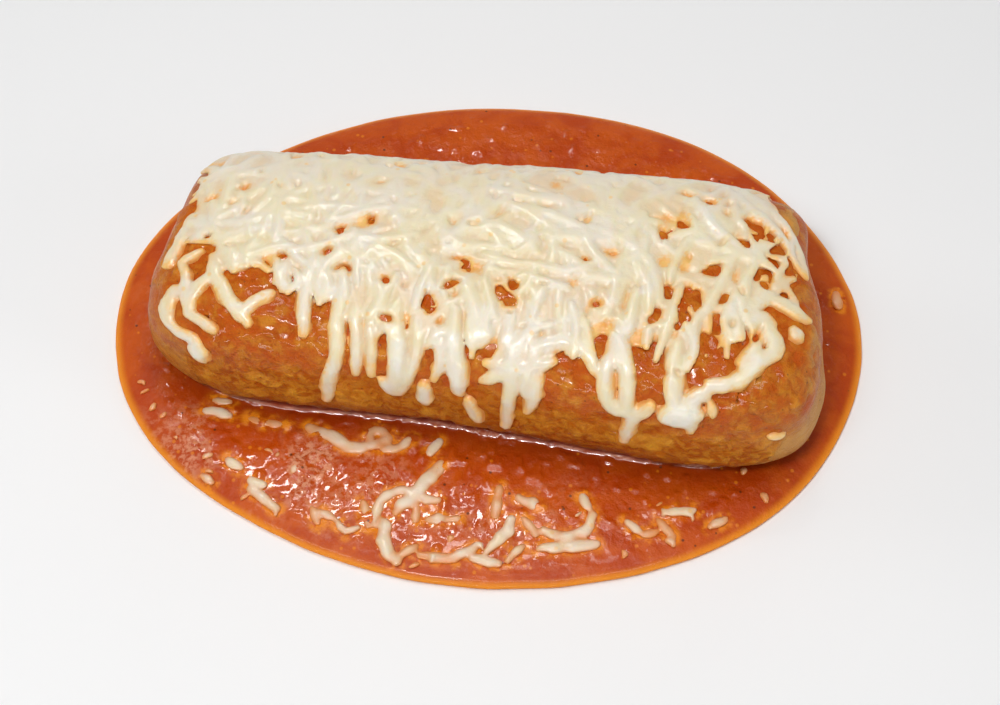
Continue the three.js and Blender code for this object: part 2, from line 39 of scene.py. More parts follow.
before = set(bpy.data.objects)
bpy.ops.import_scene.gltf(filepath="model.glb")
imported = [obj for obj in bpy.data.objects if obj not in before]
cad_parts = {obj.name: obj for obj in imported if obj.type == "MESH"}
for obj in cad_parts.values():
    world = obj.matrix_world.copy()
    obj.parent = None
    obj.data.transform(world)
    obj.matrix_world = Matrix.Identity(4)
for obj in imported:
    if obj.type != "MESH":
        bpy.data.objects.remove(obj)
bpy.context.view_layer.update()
MM = 0.001

# ---- the shapes that the solids share, in millimetres -----------------------------------------

ROLL_LENGTH = 211
ROLL_HALF_WIDTH = 44.1
ROLL_HALF_HEIGHT = 28.2
ROLL_FLAT = 1
ROLL_LIFT = 1.3
ROLL_CENTRE = (2.3, -6.8)
ROLL_TURN = math.radians(-0.7)
ROLL_TAPER = 0.063
SECTION_POWER = 3.2
END_POWER = 6.4
END_POWER_TILT = 0.9
BELLY = (0.03, 0.15, 0.5)
FRONT_HOLLOW = (5.7, -0.06, 0.6)
DENT = 0.5
END_PUSHES = {
    -1: [(-2.3, 1.0, 0.4, 0.6, 0.8), (-1.8, 0.45, 0.35, 0.0, 9.0), (4.4, -0.4, 0.45, 0.0, 0.8),
         (-4.8, -1.0, 0.35, -0.5, 0.8)],
    1: [(-2.9, 1.0, 0.4, 0.6, 0.8), (-5.8, 0.45, 0.35, 0.0, 9.0)],
}
BODY_REACH = 0.86

FLAP_THICKNESS = 1.5
FLAP_CURLS = {-1: (1.8, -0.3, 0.5), 1: (3.2, -0.35, 0.4)}
FLAP_TOP = 0.86
FLAP_WIDEST = 0.94
FLAP_EDGES = {
    -1: [(-0.86, -0.5), (-0.5, -0.35), (-0.1, -0.1), (0.35, -0.2), (0.86, -0.55)],
    1: [(-0.86, -0.55), (-0.5, -0.3), (-0.1, -0.02), (0.4, 0.1), (0.86, -0.25)],
}

SHEET_ENDS = (-100, 100.5)
BACK_HANG = 47
BACK_WAVE = 6
FRONT_EDGE = [
    (-103, -4), (-95, 0), (-85, 14), (-76, 11), (-66, 19), (-56, 21), (-41, 29), (-24, 34),
    (-9, 37), (8, 36), (22, 31), (38, 30), (53, 30), (69, 31), (83, 17), (93, 3), (102, -11),
]
# strands that hang from the blanket: width, then bends as (along the roll, round from the top)
DRIPS = [
    (3.4, (-99, -8), (-100, 4), (-101, 12), (-102, 17)),
    (3.0, (-92, 9), (-94, 11), (-97, 14)),
    (3.4, (-97, 15), (-95, 20), (-94, 28), (-92, 35)),
    (4.2, (-88, 11), (-87, 18), (-90, 23), (-92, 29), (-92, 35)),
    (4.2, (-92, 35), (-87, 37), (-84, 39)),
    (4.4, (-97, 26), (-99, 32), (-99, 40), (-95, 43), (-90, 44), (-88, 49)),
    (6.4, (-90, 46), (-88, 52)),
    (5.2, (-87, 16), (-82, 25), (-78, 30), (-73, 35)),
    (4.6, (-67, 24), (-71, 27), (-75, 31)),
    (3.4, (-80, 16), (-75, 11)),
    (4.8, (-55, 5), (-56, 18), (-56, 27), (-55, 37)),
    (5.0, (-45, 18), (-45, 33), (-44, 42), (-46, 51), (-48, 66)),
    (4.2, (-40, 26), (-38, 38), (-38, 49)),
    (3.6, (-35, 30), (-33, 41), (-33, 49)),
    (6.2, (-26, 31), (-25, 40), (-25, 48), (-26, 55)),
    (4.2, (-20, 29), (-19, 40), (-21, 49), (-24, 57)),
    (3.4, (-30, 51), (-26, 58)),
    (4.2, (-14, 32), (-11, 41), (-13, 48)),
    (5.4, (-16, 52), (-16, 61)),
    (6.4, (-9, 31), (-6, 42), (-5, 52)),
    (5.8, (-7, 11), (-3, 22), (1, 33)),
    (4.6, (-2, 56), (1, 68)),
    (4.8, (9, 28), (11, 40), (11, 51), (10, 68)),
    (4.0, (3, 40), (9, 40), (16, 39), (24, 36)),
    (4.0, (2, 46), (8, 43), (13, 42)),
    (4.2, (16, 39), (16, 48)),
    (4.2, (20, 40), (19, 48), (17, 56)),
    (5.2, (25, 29), (20, 32), (17, 36)),
    (4.6, (19, 32), (26, 29), (32, 30), (37, 37)),
    (5.0, (42, 28), (40, 37), (41, 44), (44, 48), (49, 48)),
    (5.4, (44, 27), (47, 38), (48, 48)),
    (6.0, (61, 25), (61, 34), (62, 44)),
    (9.0, (61, 47), (68, 46)),
    (4.4, (68, 52), (68, 43)),
    (5.0, (72, 37), (68, 40), (65, 44)),
    (4.8, (55, 45), (50, 51), (48, 63)),
    (5.4, (82, 9), (88, 16), (91, 23), (86, 28), (80, 34), (72, 36)),
    (4.0, (84, 13), (85, 22), (81, 28)),
    (4.8, (86, 3), (94, 7), (100, 10)),
    (4.0, (73, -43), (84, -31), (96, -25), (101, -19), (101, -10)),
    (3.4, (61, -43), (71, -38), (82, -27), (94, -19), (99, -11)),
    (3.0, (54, -37), (64, -32), (72, -27)),
    (4.0, (96, 15), (98, 18)),
    (3.0, (73, 41), (74, 45)),
    (3.0, (93, 55), (96, 56)),
]

POOL_HALF_LENGTH = 127.2
POOL_HALF_WIDTH = 95.5
POOL_TURN = math.radians(5.05)
POOL_EGG = 0.0138
POOL_WAVE = 0.003
POOL_DEPTH = 4.6
POOL_EDGE_DEPTH = 1.1
POOL_EDGE_INSET = 0.8
POOL_EDGE_POWER = 14

# loose shreds in the sauce: width, then bends as (x, y) from the middle of the pool
LOOSE_SHREDS = [
    (2.8, (-73, -46), (-69, -47), (-61, -47)),
    (2.4, (-86, -41), (-81, -41)),
    (2.8, (-88, -45), (-80, -46)),
    (3.4, (-77, -62), (-73, -65)),
    (3.2, (-84, -69), (-81, -71)),
    (3.2, (-68, -69), (-64, -70)),
    (3.2, (-68, -72), (-64, -74), (-58, -78)),
    (2.6, (-47, -76), (-44, -81)),
    (2.8, (-44, -77), (-39, -79)),
    (3.8, (-53, -47), (-44, -50), (-39, -53), (-31, -51), (-27, -49)),
    (2.8, (-32, -50), (-33, -47), (-30, -45), (-26, -47)),
    (3.0, (-27, -52), (-22, -50), (-19, -47)),
    (3.2, (-10, -47), (-12, -51)),
    (4.4, (-8, -55), (-13, -64), (-20, -74)),
    (3.2, (-26, -79), (-26, -74), (-24, -69), (-19, -66), (-12, -68), (-7, -68)),
    (4.2, (-23, -78), (-22, -85), (-17, -91)),
    (2.8, (-31, -72), (-28, -80)),
    (2.6, (-38, -80), (-35, -83), (-31, -81)),
    (2.6, (-14, -70), (-13, -76)),
    (3.2, (-9, -75), (0, -74)),
    (2.8, (-16, -89), (-12, -85)),
    (3.0, (-10, -88), (1, -88)),
    (2.8, (1, -87), (7, -83)),
    (3.2, (12, -61), (12, -71)),
    (3.6, (19, -64), (25, -66)),
    (2.8, (39, -61), (42, -65)),
    (3.6, (17, -72), (16, -77), (11, -84)),
    (2.8, (21, -71), (26, -76)),
    (3.2, (28, -74), (34, -76), (41, -73), (43, -67)),
    (3.2, (27, -81), (37, -79), (45, -77)),
    (2.8, (7, -87), (15, -88)),
    (2.6, (18, -86), (22, -81)),
    (2.6, (54, -68), (58, -71)),
    (2.6, (60, -72), (64, -70)),
    (2.8, (64, -66), (69, -71)),
    (3.0, (67, -63), (75, -61)),
    (2.8, (81, -66), (85, -63)),
    (2.8, (117, 28), (118, 23)),
]

# ---- small maths ------------------------------------------------------------------------------


def hump(value, middle, spread):
    """A smooth bump of height 1 round its middle."""
    return np.exp(-(((value - middle) / spread) ** 2))


def ease(low, high, value):
    """From 0 at the low value smoothly to 1 at the high one, which may be the smaller number."""
    share = np.clip((value - low) / (high - low), 0, 1)
    return share * share * (3 - 2 * share)


def signed_power(value, power):
    return np.sign(value) * np.abs(value) ** power


def row_of(table, value):
    """The second column of a table of pairs, read off at each value of the first."""
    xs, ys = zip(*table)
    return np.interp(value, xs, ys)


def unit(vectors):
    return vectors / np.maximum(np.linalg.norm(vectors, axis=-1, keepdims=True), 1e-9)


# whole numbers that scatter the corners of the lumps' cells
AXIS_KEY, STEP_KEY, START_KEY, LAST_KEY = 73856093, 1664525, 1013904223, 1274126177
LOW_32_BITS, LOW_24_BITS, HALF_OF_24_BITS = 0xFFFFFFFF, 0xFFFFFF, 0x7FFFFF


def lumps(points, size, seed):
    """Smooth uneven lumps from -1 to 1, about as wide as the size, the same on every run."""
    scaled = np.asarray(points, float) / size + seed * 7.31
    cell = np.floor(scaled).astype(np.int64)
    part = scaled - cell
    part = part ** 3 * (part * (part * 6 - 15) + 10)
    total = np.zeros(scaled.shape[:-1])
    for corner in product((0, 1), repeat=scaled.shape[-1]):
        mixed = np.full(total.shape, seed * START_KEY + 12345, np.int64)
        weight = np.ones(total.shape)
        for axis, side in enumerate(corner):
            mixed = (mixed ^ ((cell[..., axis] + side) * AXIS_KEY)) & LOW_32_BITS
            mixed = (mixed * STEP_KEY + START_KEY) & LOW_32_BITS
            mixed ^= mixed >> 13
            weight = weight * (part[..., axis] if side else 1 - part[..., axis])
        mixed = (mixed * LAST_KEY) & LOW_32_BITS
        mixed ^= mixed >> 16
        total += weight * ((mixed & LOW_24_BITS) / HALF_OF_24_BITS - 1)
    return total


def layered(points, size, seed):
    """Lumps of three sizes together."""
    return (lumps(points, size, seed) + 0.5 * lumps(points, size * 0.47, seed + 1)
            + 0.25 * lumps(points, size * 0.21, seed + 2)) / 1.5


# ---- the roll's surface -----------------------------------------------------------------------


def end_power(angle):
    """How square the ends are, seen from the side that the angle looks at."""
    return END_POWER + END_POWER_TILT * np.sin(angle)


def section_left(reach, angle):
    """How much of the full section is left at a share of the way to an end."""
    power = end_power(angle)
    return np.maximum(0, 1 - np.abs(reach) ** power) ** (1 / power)


def end_push(reach, across, upward):
    """How far the uneven end faces are pushed out or in."""
    push = 0.0
    for side, rows in END_PUSHES.items():
        here = np.where(reach * side > 0, 1.0, 0.0)
        for distance, middle, spread, up_middle, up_spread in rows:
            push = push + (here * distance * hump(across, middle, spread)
                           * hump(upward, up_middle, up_spread))
    return push * ease(0.8, 1, np.abs(reach)) * np.sign(reach)


def place_on_roll(reach, across, upward):
    """The point at shares of the roll's half length, half width and half height."""
    belly, belly_middle, belly_spread = BELLY
    hollow, hollow_middle, hollow_spread = FRONT_HOLLOW
    growth = 1 + ROLL_TAPER * reach
    swell = growth * (1 + belly * hump(reach, belly_middle, belly_spread))
    pull = hollow * hump(reach, hollow_middle, hollow_spread) * ease(0.2, -0.9, across)
    x = ROLL_LENGTH / 2 * reach + end_push(reach, across, upward)
    y = ROLL_HALF_WIDTH * swell * across + pull + x * math.tan(ROLL_TURN)
    height = ROLL_HALF_HEIGHT * growth * (1 + upward) - ROLL_FLAT
    dent = DENT * np.sin(x / 13 + 0.6) * np.sin(y / 17 + x / 31) * ease(0, 9, height)
    z = ROLL_LIFT + np.maximum(0, height + dent)
    return np.stack([x + ROLL_CENTRE[0], y + ROLL_CENTRE[1], z], axis=-1)


def roll_point(reach, section, angle):
    """The point at an angle round the section, 0 at the top."""
    across = section * signed_power(np.sin(angle), 2 / SECTION_POWER)
    upward = section * signed_power(np.cos(angle), 2 / SECTION_POWER)
    return place_on_roll(reach, across, upward)


def girth_table():
    """Distances round half of the section from the top line, and their angles."""
    angles = np.linspace(0, math.pi, 721)
    y = ROLL_HALF_WIDTH * signed_power(np.sin(angles), 2 / SECTION_POWER)
    z = ROLL_HALF_HEIGHT * signed_power(np.cos(angles), 2 / SECTION_POWER)
    steps = np.hypot(np.diff(y), np.diff(z))
    return np.concatenate([[0], np.cumsum(steps)]), angles


GIRTH, GIRTH_ANGLES = girth_table()


def angle_at(round_from_top):
    """Angle of the section at a distance round it from the top line, positive down the front."""
    return -np.sign(round_from_top) * np.interp(np.abs(round_from_top), GIRTH, GIRTH_ANGLES)


def draped(along, around):
    """The roll's surface at a distance along it and round it from the top line."""
    angle = angle_at(around)
    reach = along / (ROLL_LENGTH / 2)
    return roll_point(reach, section_left(reach, angle), angle)


def draped_normal(along, around):
    """The outward direction of the roll's surface there."""
    step = 0.5
    lengthways = draped(along + step, around) - draped(along - step, around)
    sideways = draped(along, around + step) - draped(along, around - step)
    return unit(np.cross(sideways, lengthways))


def on_end(side, across, upward, outward):
    """A point on an end face, by its place in the section."""
    power = SECTION_POWER
    section = (np.abs(across) ** power + np.abs(upward) ** power) ** (1 / power)
    kept = np.minimum(section, FLAP_WIDEST)
    run = end_power(np.arctan2(across, upward))
    reach = side * (1 - kept ** run) ** (1 / run)
    points = place_on_roll(reach, across * kept / section, upward * kept / section)
    points[..., 0] += side * outward
    return points


# ---- meshes -----------------------------------------------------------------------------------


def piece_of(name, points, faces, marks, node=None):
    """A mesh object from points in millimetres and faces, with its marks kept at its points."""
    mesh = bpy.data.meshes.new(name)
    mesh.from_pydata((np.asarray(points) * MM).tolist(), [], faces)
    mesh.validate()
    mesh.update()
    mesh.shade_smooth()
    for mark, values in marks.items():
        layer = mesh.attributes.new(mark, "FLOAT", "POINT")
        layer.data.foreach_set("value", np.asarray(values, np.float32).ravel())
    piece = bpy.data.objects.new(name, mesh)
    bpy.context.scene.collection.objects.link(piece)
    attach(piece, "root")
    if node:
        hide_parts(node)
    return piece


def tube_faces(rings, sides):
    """Faces between rings of points that follow each other, with a pole before and after."""
    faces = []
    last = 1 + rings * sides
    for j in range(sides):
        after = (j + 1) % sides
        faces.append((0, 1 + after, 1 + j))
        faces.append((last - sides + j, last - sides + after, last))
    for i in range(rings - 1):
        low = 1 + i * sides
        high = low + sides
        faces.extend((low + j, low + (j + 1) % sides, high + (j + 1) % sides, high + j)
                     for j in range(sides))
    return faces


def slab_faces(columns, rows, flipped):
    """Faces of a closed slab between two grids of points, the outer one first."""
    layer = (columns + 1) * (rows + 1)

    def at(i, j, inside=0):
        return inside * layer + i * (rows + 1) + j

    faces = []
    for i in range(columns):
        for j in range(rows):
            faces.append((at(i, j), at(i + 1, j), at(i + 1, j + 1), at(i, j + 1)))
            faces.append((at(i, j, 1), at(i, j + 1, 1), at(i + 1, j + 1, 1), at(i + 1, j, 1)))
        faces.append((at(i, 0), at(i, 0, 1), at(i + 1, 0, 1), at(i + 1, 0)))
        faces.append((at(i, rows), at(i + 1, rows), at(i + 1, rows, 1), at(i, rows, 1)))
    for j in range(rows):
        faces.append((at(0, j), at(0, j + 1), at(0, j + 1, 1), at(0, j, 1)))
        faces.append((at(columns, j), at(columns, j, 1), at(columns, j + 1, 1),
                      at(columns, j + 1)))
    return [face[::-1] for face in faces] if flipped else faces


POINTS_TO_A_BEND = 9


def smooth_bends(bends, step):
    """Evenly spaced points on a smooth curve through the bends."""
    bends = np.asarray(bends, float)
    padded = np.vstack([2 * bends[0] - bends[1], bends, 2 * bends[-1] - bends[-2]])
    share = np.linspace(0, 1, POINTS_TO_A_BEND)[:, None]
    points = []
    for before, start, end, after in zip(padded, padded[1:], padded[2:], padded[3:]):
        points.append(0.5 * (2 * start + (end - before) * share
                             + (2 * before - 5 * start + 4 * end - after) * share ** 2
                             + (3 * start - before - 3 * end + after) * share ** 3))
    points = np.concatenate(points)
    run = np.concatenate([[0], np.cumsum(np.linalg.norm(np.diff(points, axis=0), axis=1))])
    count = max(3, round(run[-1] / step) + 1)
    even = np.linspace(0, run[-1], count)
    return np.stack([np.interp(even, run, points[:, k]) for k in range(points.shape[1])], axis=1)


FAR_AWAY = 4.0
FILLET = 0.25


class Dough:
    """A block of distances that strands are melted into: two axes in the plane and a lift."""

    def __init__(self, lows, highs, step):
        self.lows = np.asarray(lows, float)
        self.step = step
        self.shape = tuple(np.ceil((np.asarray(highs) - self.lows) / step).astype(int) + 1)
        self.u, self.v, self.w = (low + step * np.arange(n)
                                  for low, n in zip(self.lows, self.shape))
        self.far = np.full(self.shape, FAR_AWAY, np.float32)

    def plane(self):
        """The places of the plane's points."""
        return np.stack(np.meshgrid(self.u, self.v, indexing="ij"), axis=-1)

    def melt(self, window, distance, blend):
        """Joins a shape to what is there, with a soft fillet where they meet."""
        here = self.far[window]
        gap = np.clip(blend - np.abs(here - distance), 0, None) / blend
        self.far[window] = np.minimum(here, distance) - gap * gap * blend * FILLET

    def add_strand(self, path, width, height, lift, blend, rough=0.0, seed=0):
        """A strand of oval section along a path in the plane, thinner at its rounded ends."""
        half = width / 2
        margin = half + blend + 2 * self.step
        low = np.floor((path.min(0) - margin - self.lows[:2]) / self.step).astype(int)
        high = np.ceil((path.max(0) + margin - self.lows[:2]) / self.step).astype(int)
        low = np.clip(low, 0, np.array(self.shape[:2]) - 1)
        high = np.clip(high, 1, self.shape[:2])
        if (high <= low).any():
            return
        window = (slice(low[0], high[0]), slice(low[1], high[1]), slice(None))
        points = np.stack(np.meshgrid(self.u[window[0]], self.v[window[1]], indexing="ij"), -1)
        nearest = np.full(points.shape[:2], 1e9)
        slim = np.zeros(points.shape[:2])
        segments = len(path) - 1
        for i in range(segments):
            start, line = path[i], path[i + 1] - path[i]
            share = np.clip(((points - start) @ line) / max(line @ line, 1e-9), 0, 1)
            apart = np.linalg.norm(points - start - share[..., None] * line, axis=-1)
            closer = apart < nearest
            nearest = np.where(closer, apart, nearest)
            slim = np.where(closer, (i + share) / segments, slim)
        taper = 1 - 0.25 * np.abs(2 * slim - 1) ** 3
        if rough:
            taper = taper + rough * lumps(points, 3.2, seed)
        upward = (self.w - lift) * (width / height)
        apart = np.sqrt(nearest[..., None] ** 2 + upward ** 2)
        self.melt(window, apart - (half * taper)[..., None], blend)

    def open_hole(self, a, r, wide, seed):
        """An uneven hole with soft sloping sides, longer one way than the other."""
        low = np.floor(([a, r] - self.lows[:2] - 2 * wide - 2) / self.step).astype(int)
        low = np.clip(low, 0, None)
        high = low + math.ceil((4 * wide + 4) / self.step)
        window = (slice(low[0], high[0]), slice(low[1], high[1]), slice(None))
        place = np.stack(np.meshgrid(self.u[window[0]], self.v[window[1]], indexing="ij"), -1)
        turn, stretch = seed * 2.4, 1.5
        off = place - (a, r)
        long = off @ np.array([math.cos(turn), math.sin(turn)]) / stretch
        short = off @ np.array([-math.sin(turn), math.cos(turn)]) * stretch
        apart = np.hypot(long, short) + 0.75 * wide * lumps(place, 2.4, seed)
        cut = (wide - apart)[..., None] + 0.6 * (self.w - 1.2)
        here = self.far[window]
        gap = np.clip(1 - np.abs(here - cut), 0, None)
        self.far[window] = np.maximum(here, cut) + gap * gap * FILLET

    def surface(self):
        """Points in the block's own axes, and the faces of the closed surface between them."""
        grid = vdb.FloatGrid()
        grid.copyFromArray(self.far)
        points, triangles, quads = grid.convertToPolygons(isovalue=0.0, adaptivity=0.0)
        return points * self.step + self.lows, quads.tolist() + triangles.tolist()

    def top(self):
        """Height of what is melted in, over each place of the plane, or the low end if bare."""
        inside = self.far < 0
        highest = self.shape[2] - 1 - np.argmax(inside[..., ::-1], axis=-1)
        return np.where(inside.any(-1), self.w[highest], self.lows[2])


def blurred(field, reach):
    """A field with each value replaced by the mean of its neighbourhood."""
    for axis in (0, 1):
        for _ in range(2):
            pads = [(0, 0), (0, 0)]
            pads[axis] = (reach + 1, reach)
            summed = np.cumsum(np.pad(field, pads, mode="edge"), axis=axis)
            upper = np.take(summed, range(2 * reach + 1, summed.shape[axis]), axis=axis)
            lower = np.take(summed, range(0, summed.shape[axis] - 2 * reach - 1), axis=axis)
            field = (upper - lower) / (2 * reach + 1)
    return field


def looked_up(field, dough, places):
    """A plane field's value at each place, by its nearest point."""
    at = np.round((places[..., :2] - dough.lows[:2]) / dough.step).astype(int)
    at = np.clip(at, 0, np.array(field.shape) - 1)
    return field[at[..., 0], at[..., 1]]


# ---- materials --------------------------------------------------------------------------------


class Finish:
    """A material whose nodes are added and joined by short calls."""

    def __init__(self, name):
        self.material = bpy.data.materials.new(name)
        self.material.use_nodes = True
        self.tree = self.material.node_tree
        self.shader = self.tree.nodes["Principled BSDF"]
        self.place = self.add("ShaderNodeTexCoord").outputs["Object"]

    def add(self, kind, **values):
        """A new node with its inputs set."""
        return add_node(self.tree, kind, **values)

    def mark(self, name):
        """A value that the mesh keeps at its points."""
        node = self.add("ShaderNodeAttribute")
        node.attribute_name = name
        return node.outputs["Fac"]

    def noise(self, scale, detail=3.0, roughness=0.5, distortion=0.0):
        """Cloudy values round 0.5, in the object's own place."""
        node = self.add("ShaderNodeTexNoise", Vector=self.place, Scale=scale, Detail=detail,
                        Roughness=roughness, Distortion=distortion)
        return node.outputs["Fac"]

    def between(self, value, low, high, out_low=0.0, out_high=1.0):
        """A value eased from one range to another, and held at its ends."""
        node = self.add("ShaderNodeMapRange", Value=value)
        node.interpolation_type = "SMOOTHSTEP"
        for key, number in (("From Min", low), ("From Max", high),
                            ("To Min", out_low), ("To Max", out_high)):
            node.inputs[key].default_value = number
        return node.outputs["Result"]

    def maths(self, operation, *values):
        return add_maths(self.tree, operation, *values)

    def specks(self, scale, size, share):
        """A mask of small round specks, from the shared effect."""
        node = self.group(speck_group(), Place=self.place, Scale=scale, Size=size, Share=share)
        return node.outputs["Mask"]

    def mix(self, share, first, second):
        """The first colour with a share of the second."""
        node = self.add("ShaderNodeMix")
        node.data_type = "RGBA"
        for socket, value in zip((node.inputs[0], node.inputs[6], node.inputs[7]),
                                 (share, first, second)):
            feed(self.tree, socket, value)
        return node.outputs[2]

    def group(self, tree, **values):
        """A shared effect with this material's own values."""
        node = self.add("ShaderNodeGroup")
        node.node_tree = tree
        for key, value in values.items():
            feed(self.tree, node.inputs[key.replace("_", " ")], value)
        return node

    def bump(self, height, depth_mm, strength=1.0):
        """Fine relief, with its depth in millimetres."""
        node = self.add("ShaderNodeBump", Height=height)
        node.inputs["Strength"].default_value = strength
        node.inputs["Distance"].default_value = depth_mm * MM
        self.tree.links.new(node.outputs["Normal"], self.shader.inputs["Normal"])

    def surface(self, **values):
        """Sets or joins the shader's own sockets."""
        for key, value in values.items():
            feed(self.tree, self.shader.inputs[key.replace("_", " ")], value)


def feed(tree, socket, value):
    """Joins a socket to another one, or sets it to a number, a vector or an opaque colour."""
    if isinstance(value, bpy.types.NodeSocket):
        tree.links.new(value, socket)
        return
    if hasattr(value, "__len__"):
        value = tuple(value)
        if len(socket.default_value) == 4 and len(value) == 3:
            value = (*value, 1.0)
    socket.default_value = value


def add_node(tree, kind, **values):
    """A new node in a tree, with its inputs set. An underscore stands for a space in a name."""
    node = tree.nodes.new(kind)
    for key, value in values.items():
        feed(tree, node.inputs[key.replace("_", " ")], value)
    return node


def start_group(name, inputs, outputs):
    """A shader node group with its place input, its numbers and its outputs, or None if known."""
    if name in bpy.data.node_groups:
        return None
    tree = bpy.data.node_groups.new(name, "ShaderNodeTree")
    ports = tree.interface
    ports.new_socket("Place", in_out="INPUT", socket_type="NodeSocketVector")
    for port, value in inputs:
        socket = ports.new_socket(port, in_out="INPUT", socket_type="NodeSocketFloat")
        socket.default_value = value
    for port in outputs:
        ports.new_socket(port, in_out="OUTPUT", socket_type="NodeSocketFloat")
    return tree, tree.nodes.new("NodeGroupInput").outputs, tree.nodes.new("NodeGroupOutput").inputs


def add_maths(tree, operation, *values):
    node = tree.nodes.new("ShaderNodeMath")
    node.operation = operation
    for socket, value in zip(node.inputs, values):
        feed(tree, socket, value)
    return node.outputs[0]


def mottle_group():
    """Shared effect: blotches that fade into one another, and a fine grain on top of them."""
    begun = start_group("Food mottle", (("Blotch Scale", 120.0), ("Grain Scale", 900.0),
                                        ("Softness", 0.2)), ("Blotch", "Grain", "Height"))
    if begun:
        tree, entry, out = begun
        coarse = add_node(tree, "ShaderNodeTexNoise", Vector=entry["Place"],
                          Scale=entry["Blotch Scale"], Detail=3.0, Roughness=0.55,
                          Distortion=0.6).outputs["Fac"]
        fine = add_node(tree, "ShaderNodeTexNoise", Vector=entry["Place"],
                        Scale=entry["Grain Scale"], Detail=2.0, Roughness=0.6).outputs["Fac"]
        spread = add_node(tree, "ShaderNodeMapRange", Value=coarse,
                          From_Min=add_maths(tree, "SUBTRACT", 0.5, entry["Softness"]),
                          From_Max=add_maths(tree, "ADD", 0.5, entry["Softness"]))
        spread.interpolation_type = "SMOOTHSTEP"
        tree.links.new(spread.outputs["Result"], out["Blotch"])
        tree.links.new(fine, out["Grain"])
        tree.links.new(add_maths(tree, "MULTIPLY_ADD", fine, 0.35, coarse), out["Height"])
    return bpy.data.node_groups["Food mottle"]


def speck_group():
    """Shared effect: small round specks in some of the cells of a scattered pattern."""
    begun = start_group("Food specks", (("Scale", 300.0), ("Size", 0.12), ("Share", 0.45)),
                        ("Mask",))
    if begun:
        tree, entry, out = begun
        cells = add_node(tree, "ShaderNodeTexVoronoi", Vector=entry["Place"],
                         Scale=entry["Scale"])
        chosen = add_maths(tree, "LESS_THAN", cells.outputs["Color"], entry["Share"])
        core = add_maths(tree, "MULTIPLY", entry["Size"], 0.6)
        spread = add_node(tree, "ShaderNodeMapRange", Value=cells.outputs["Distance"],
                          From_Min=entry["Size"], From_Max=core)
        tree.links.new(add_maths(tree, "MULTIPLY", chosen, spread.outputs["Result"]),
                       out["Mask"])
    return bpy.data.node_groups["Food specks"]


def tortilla_finish(settings):
    finish = Finish("soaked_tortilla")
    mottle = finish.group(mottle_group(), Place=finish.place, Blotch_Scale=75.0,
                          Grain_Scale=850.0, Softness=0.14)
    patches = finish.group(mottle_group(), Place=finish.place, Blotch_Scale=330.0,
                           Grain_Scale=1900.0, Softness=0.1)
    colour = finish.mix(mottle.outputs["Blotch"], settings.soaked, settings.golden)
    colour = finish.mix(finish.maths("MULTIPLY", patches.outputs["Blotch"], 0.5), colour,
                        settings.blister)
    baked = finish.maths("MULTIPLY", finish.mark("blister"),
                         finish.between(finish.noise(210.0, 3.0), 0.4, 0.6, 0.2, 0.9))
    colour = finish.mix(baked, colour, settings.blister)
    dry = finish.maths("MULTIPLY", finish.mark("dry"), 0.85)
    colour = finish.mix(dry, colour, settings.bare)
    film = finish.mark("film")
    red = finish.maths("MULTIPLY", film,
                       finish.between(finish.noise(180.0, 3.0), 0.35, 0.62, 0.3, 0.95))
    colour = finish.mix(red, colour, settings.sauce_film)
    # painted shade: darker towards the bottom, from 27 mm down to 6 mm, for the shade under the
    # roll's belly over the sauce soaked in there
    colour = finish.mix(finish.between(finish.mark("height"), 6.0, 27.0, 0.95, 0.0),
                        colour, settings.foot)
    colour = finish.mix(finish.maths("MULTIPLY", finish.specks(330.0, 0.14, 0.42), 0.6),
                        colour, settings.char)
    rough = finish.between(patches.outputs["Grain"], 0.3, 0.7, 0.3, 0.5)
    finish.bump(finish.maths("ADD", mottle.outputs["Height"], patches.outputs["Height"]), 1.0)
    finish.surface(Base_Color=colour, Roughness=rough)
    finish.surface(Coat_Weight=finish.maths("MULTIPLY_ADD", film, 0.22, 0.05))
    finish.surface(Coat_Roughness=0.08, Specular_IOR_Level=0.08)
    finish.surface(Subsurface_Weight=0.1, Subsurface_Radius=(1.0, 0.4, 0.1),
                   Subsurface_Scale=0.0015)
    return finish.material


